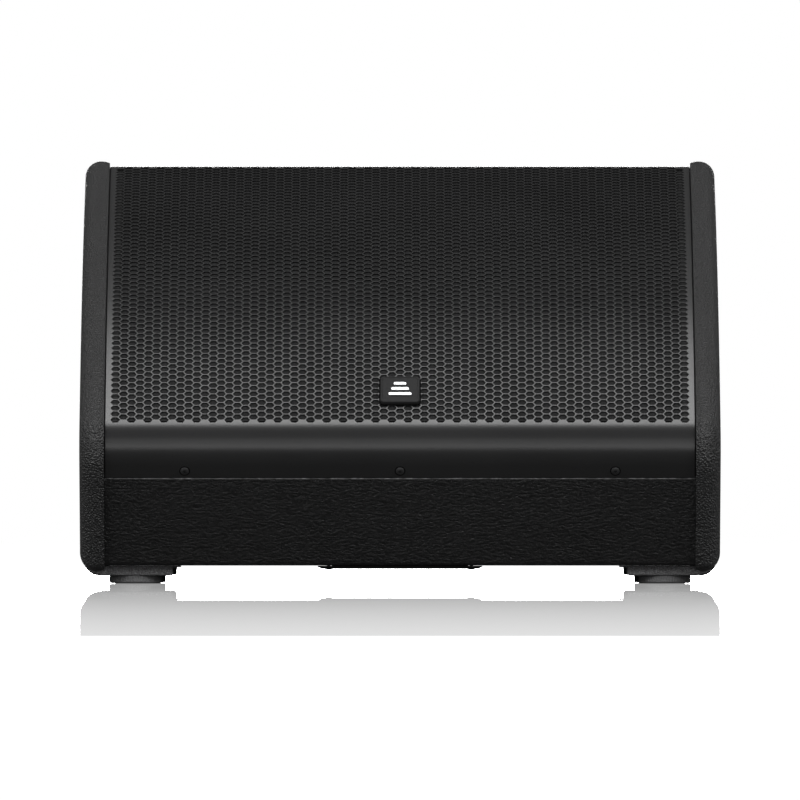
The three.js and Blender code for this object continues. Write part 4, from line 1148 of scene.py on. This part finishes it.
ROCKER_X, ROCKER_WIDTH, ROCKER_HEIGHT = -80 * MM, 12.4, 18.4  # the sizes in mm
SWING = 0.8  # mm: how much further an end of the rocker reaches as it tips
# (growth, height) round the bezel's section, in mm
BEZEL = ((0.75, -0.1), (2.6, -0.1), (2.6, 1.2), (2.2, 1.7), (1.1, 1.7), (0.75, 1.3))


def make_rocker():
    half = ROCKER_HEIGHT / 2
    section = [(-half, -5), (half, -5)]
    for i in range(13):
        t = i / 12
        dip = (1 - t) ** 2 * 0.4 + 2 * t * (1 - t) * -1.4 + t * t * 3.2
        section.append((half - ROCKER_HEIGHT * t, dip))
    section = [Vector((y * MM, z * MM)) for y, z in section]
    cap = across("rocker_body", section, ROCKER_WIDTH / 2 * MM, "plastic", 0.4 * MM)
    apply_modifiers(cap)
    bar = slab((-0.35, 0.35, 3.6, 6.6, -0.6, 0.15), 0.05, "white", 1)
    ring = hoop_piece("ring", circles([(1.6, 0.2), (1.6, 1.85), (1.05, 1.85), (1.05, 0.2)]), "white")
    put(ring, at(0, -5.6 * MM))
    whole = joined("power_rocker_cap", [cap, bar, ring])
    put(whole, REAR @ at(ROCKER_X, ROW, FLOOR + 1 * MM))
    settle(whole, "power_rocker", "handle_plastic", "power_rocker")
    bezel = hoop_piece("power_rocker_bezel", [
        rectangle(ROCKER_WIDTH + 2 * grow, ROCKER_HEIGHT + 2 * (grow + SWING), max(grow, 0.4), z)
        for grow, z in BEZEL
    ], "plastic")
    settle(put(bezel, REAR @ at(ROCKER_X, ROW, FLOOR)), "cabinet", "handle_plastic")


KNOB_POINTS = 144
ENCODER = (78 * MM, 8 * MM)
MENU = (116 * MM, 8 * MM)
DISPLAY = (95 * MM, 50 * MM)


def make_controls():
    rings = circles([(3.4, 9.8), (3.4, 0), (8.6, 0), (9, 0.5)], KNOB_POINTS)
    rings += [circle_ring(fluted(r * MM, 0.35 * MM, 24, 3), z * MM, KNOB_POINTS)
              for r, z in ((9, 1), (8.8, 10))]
    rings += circles([(8.6, 10.9), (8.2, 11.6), (7.4, 12), (6.5, 11.7), (2, 11.4)], KNOB_POINTS)
    knob = ring_piece("knob", rings, "knob")
    mark = slab((-0.45, 0.45, 3.6, 6.4, 11.2, 11.85), 0.1, "white", 1)
    whole = put(joined("level_encoder_knob", [knob, mark]), REAR @ at(*ENCODER, FLOOR + 3 * MM))
    settle(whole, "encoder_knob", "knob_plastic", "encoder_knob")

    button = turned_piece("menu_button_cap", [
        (3.4, -6), (4, -5.4), (4, 2.3), (3.8, 2.8), (3.2, 3), (1.5, 2.7),
    ], "plastic")
    settle(put(button, REAR @ at(*MENU, FLOOR)), "menu_button", "handle_plastic", "menu_button")
    collar = hoop_piece("menu_button_collar", circles([
        (4.5, 0), (6, 0), (6, 0.7), (5.5, 1.1), (4.5, 1.1),
    ]), "plastic")
    settle(put(collar, REAR @ at(*MENU, FLOOR)), "cabinet", "handle_plastic")

    def pane(inset, z):
        return rectangle(52 - 2 * inset, 28 - 2 * inset, 2.4 - inset * 0.4, z)
    surround = hoop_piece("display_surround", [
        pane(3, 0), pane(0, 0), pane(0, 1.5), pane(0.4, 1.9), pane(2.2, 2.0), pane(3, 1.4),
    ], "plastic")
    glass = ring_piece("pane", [pane(3.1, 0.1), pane(3.1, 1.0), pane(3.5, 1.2)], "window")
    whole = put(joined("display_window_fitted", [surround, glass]), REAR @ at(*DISPLAY, FLOOR))
    settle(whole, "cabinet", "window", "display_window")


def make_tray_screws():
    heads = [put(screw("head", 3.4, 1.8, 1.8, 5), REAR @ at(x * MM, y * MM, 2.4 * MM))
             for x in (-156, 0, 156) for y in (-88, 88)]
    settle(joined("tray_screws", heads), "cabinet", "black_screw")
    place, _, _ = on_leg(LEG["rear"], 11 * MM)
    here = REAR.to_3x3().to_4x4()
    heads = []
    for x in (-201.4, 0, 201.4):
        here.translation = (x * MM, place.x + SHIFT, place.y)
        heads.append(put(screw("head", 3.95, 1.5, 1.9, 8), here @ at(0, 0, 0.1 * MM)))
    settle(joined("rear_lip_screws", heads), "cabinet", "black_screw")


# ---------------- pieces kept from the CAD

KEPT = {
    "black_ply": ["left_side_panel", "right_side_panel", "baffle_board", "left_grille_rib",
                  "right_grille_rib"],
    "paint": ["bottom_panel", "rear_panel"],
    "plastic": ["left_port_tube", "right_port_tube", "horn"],
    "alloy": ["woofer_basket", "high_frequency_driver"],
    "zinc": ["woofer_top_plate", "woofer_pole_piece"],
    "ferrite": ["woofer_magnet"],
    "copper": ["voice_coil"],
    "pulp": ["woofer_cone"],
    "rubber": ["woofer_surround"],
    "titanium": ["high_frequency_diaphragm"],
    "screw": [f"woofer_screw_{i}" for i in range(1, 5)],
    "tray": ["amplifier_tray"],
    "anodised": ["heat_sink"],
    "nickel": ["encoder_shaft"],
    "board": ["amplifier_board", "power_supply_board"],
}
EASED = {"bottom_panel": 0.8 * MM, "rear_panel": 0.8 * MM, "amplifier_tray": 0.5 * MM,
         "heat_sink": 0.25 * MM}


def dress_kept_nodes():
    for finish, names in KEPT.items():
        for name in names:
            node = frame["nodes"][name]
            node.data.materials.clear()
            node.data.materials.append(FINISH[finish])
            if name in EASED:
                ease(node, EASED[name])
            soften(node.data, 32)


# ---------------- studio

CAMERA_DISTANCE, CAMERA_HEIGHT, CAMERA_AIM = 24.07, 42.5 * MM, 171.5 * MM
LENS, SENSOR = 1158.8, 36
# name, azimuth from the front, elevation over the top, spread, strength
SUNS = [
    ("overhead_back", 0, 108, 16, 0.26),
    ("overhead", 0, 96, 16, 0.4),
    ("overhead_front", 0, 84, 16, 0.07),
    ("front_rising", 0, 25, 16, 0.08),
    ("front_low", 0, 8, 16, 0.17),
    ("back_low", 180, 8, 16, 0.9),
    ("front_left", -56, 30, 30, 1.6),
    ("front_right", 56, 30, 30, 1.6),
]
AMBIENT, AMBIENT_BEHIND, DIMMED_BY = 0.2, 0.12, 0.6
FLOOR_GLOW, FLOOR_MATT, FLOOR_BOUNCE, FLOOR_HALF = 0.6, 0.45, 0.12, 150
# the floor's polish: its strength near the object, where it fades to and how far out it ends
POLISH_NEAR, POLISH_FAR, POLISH_START, POLISH_END = 0.71, 0.28, 2.0, 13.1
POLISH_POWER = 4.0


def make_camera():
    data = bpy.data.cameras.new("photo_camera")
    data.lens, data.sensor_width = LENS, SENSOR
    data.clip_start, data.clip_end = 0.1, 400
    camera = linked("photo_camera", data)
    camera.location = Vector((0, SHIFT - CAMERA_DISTANCE, CAMERA_HEIGHT))
    aim = Vector((0, SHIFT, CAMERA_AIM))
    camera.rotation_euler = (aim - camera.location).to_track_quat("-Z", "Y").to_euler()
    bpy.context.scene.camera = camera


def make_lights():
    for name, azimuth, elevation, spread, strength in SUNS:
        data = bpy.data.lights.new(name, "SUN")
        data.energy = strength
        data.angle = math.radians(spread)
        a, e = math.radians(azimuth), math.radians(elevation)
        towards = Vector((math.sin(a) * math.cos(e), -math.cos(a) * math.cos(e), math.sin(e)))
        linked(name, data).rotation_euler = towards.to_track_quat("Z", "Y").to_euler()


def make_world():
    """White behind everything and in the floor's polish, dim where it lights the object."""
    world = bpy.data.worlds.new("studio")
    graph = Graph(world)
    path = graph.add("LightPath").outputs
    seen = graph.calculate("MAXIMUM", path["Is Camera Ray"], path["Is Singular Ray"])
    direction = graph.add("SeparateXYZ", {0: graph.add("TexCoord").outputs["Generated"]})
    dimmer = graph.spread(direction.outputs["Y"], (0.0, DIMMED_BY), (AMBIENT, AMBIENT_BEHIND))
    lit = graph.calculate("MAXIMUM", seen, dimmer)
    graph.feed(graph.nodes["Background"], {"Strength": lit, "Color": (1, 1, 1, 1)})
    bpy.context.scene.world = world


def make_floor():
    """A white floor with a polish that shows at a low angle and fades away from the object."""
    finish = bpy.data.materials.new("studio_floor")
    graph = Graph(finish)
    graph.nodes.remove(graph.nodes["Principled BSDF"])
    glow = graph.add("Emission", {"Strength": FLOOR_GLOW}).outputs[0]
    matt, bounce = (graph.add("BsdfDiffuse", {"Color": (v, v, v, 1)}).outputs[0]
                    for v in (FLOOR_MATT, FLOOR_BOUNCE))
    polish = graph.add("BsdfGlossy", {"Roughness": 0, "Color": (1, 1, 1, 1)}).outputs[0]
    place = graph.add("TexCoord").outputs["Object"]
    reach = graph.add("VectorMath", {0: place}, operation="LENGTH").outputs["Value"]
    fade = graph.spread(reach, (POLISH_START, POLISH_END), (POLISH_NEAR, POLISH_FAR))
    inside = graph.calculate("LESS_THAN", reach, POLISH_END)
    grazing = graph.add("LayerWeight").outputs["Facing"]
    low = graph.calculate("POWER", grazing, POLISH_POWER)
    strength = graph.calculate("MULTIPLY", graph.calculate("MULTIPLY", fade, inside), low)
    white = graph.add("AddShader", {0: glow, 1: matt}).outputs[0]
    polished = graph.add("MixShader", {0: strength, 1: white, 2: polish}).outputs[0]
    direct = graph.add("LightPath").outputs["Is Camera Ray"]
    seen = graph.add("MixShader", {0: direct, 1: bounce, 2: polished})
    graph.feed(graph.nodes["Material Output"], {"Surface": seen.outputs[0]})
    mesh = bpy.data.meshes.new("studio_floor")
    corners = [(x * FLOOR_HALF, y * FLOOR_HALF, 0) for x, y in ((-1, -1), (1, -1), (1, 1), (-1, 1))]
    mesh.from_pydata(corners, [], [(0, 1, 2, 3)])
    mesh.materials.append(finish)
    floor = linked("studio_floor", mesh)
    floor.location.z = -0.2 * MM


# ---------------- build

bpy.context.scene.view_settings.view_transform = "Standard"
make_camera()
make_lights()
make_world()
make_floor()
dress_kept_nodes()
for label, sign in (("left", -1), ("right", 1)):
    make_cheek(label, sign)
    for end in FOOT_Y:
        make_foot(end, label, sign)
make_grille()
make_foam()
make_front_panel()
make_lip_screws()
make_badge()
make_handle()
make_spider()
make_sockets()
make_latches()
make_rocker()
make_controls()
make_tray_screws()
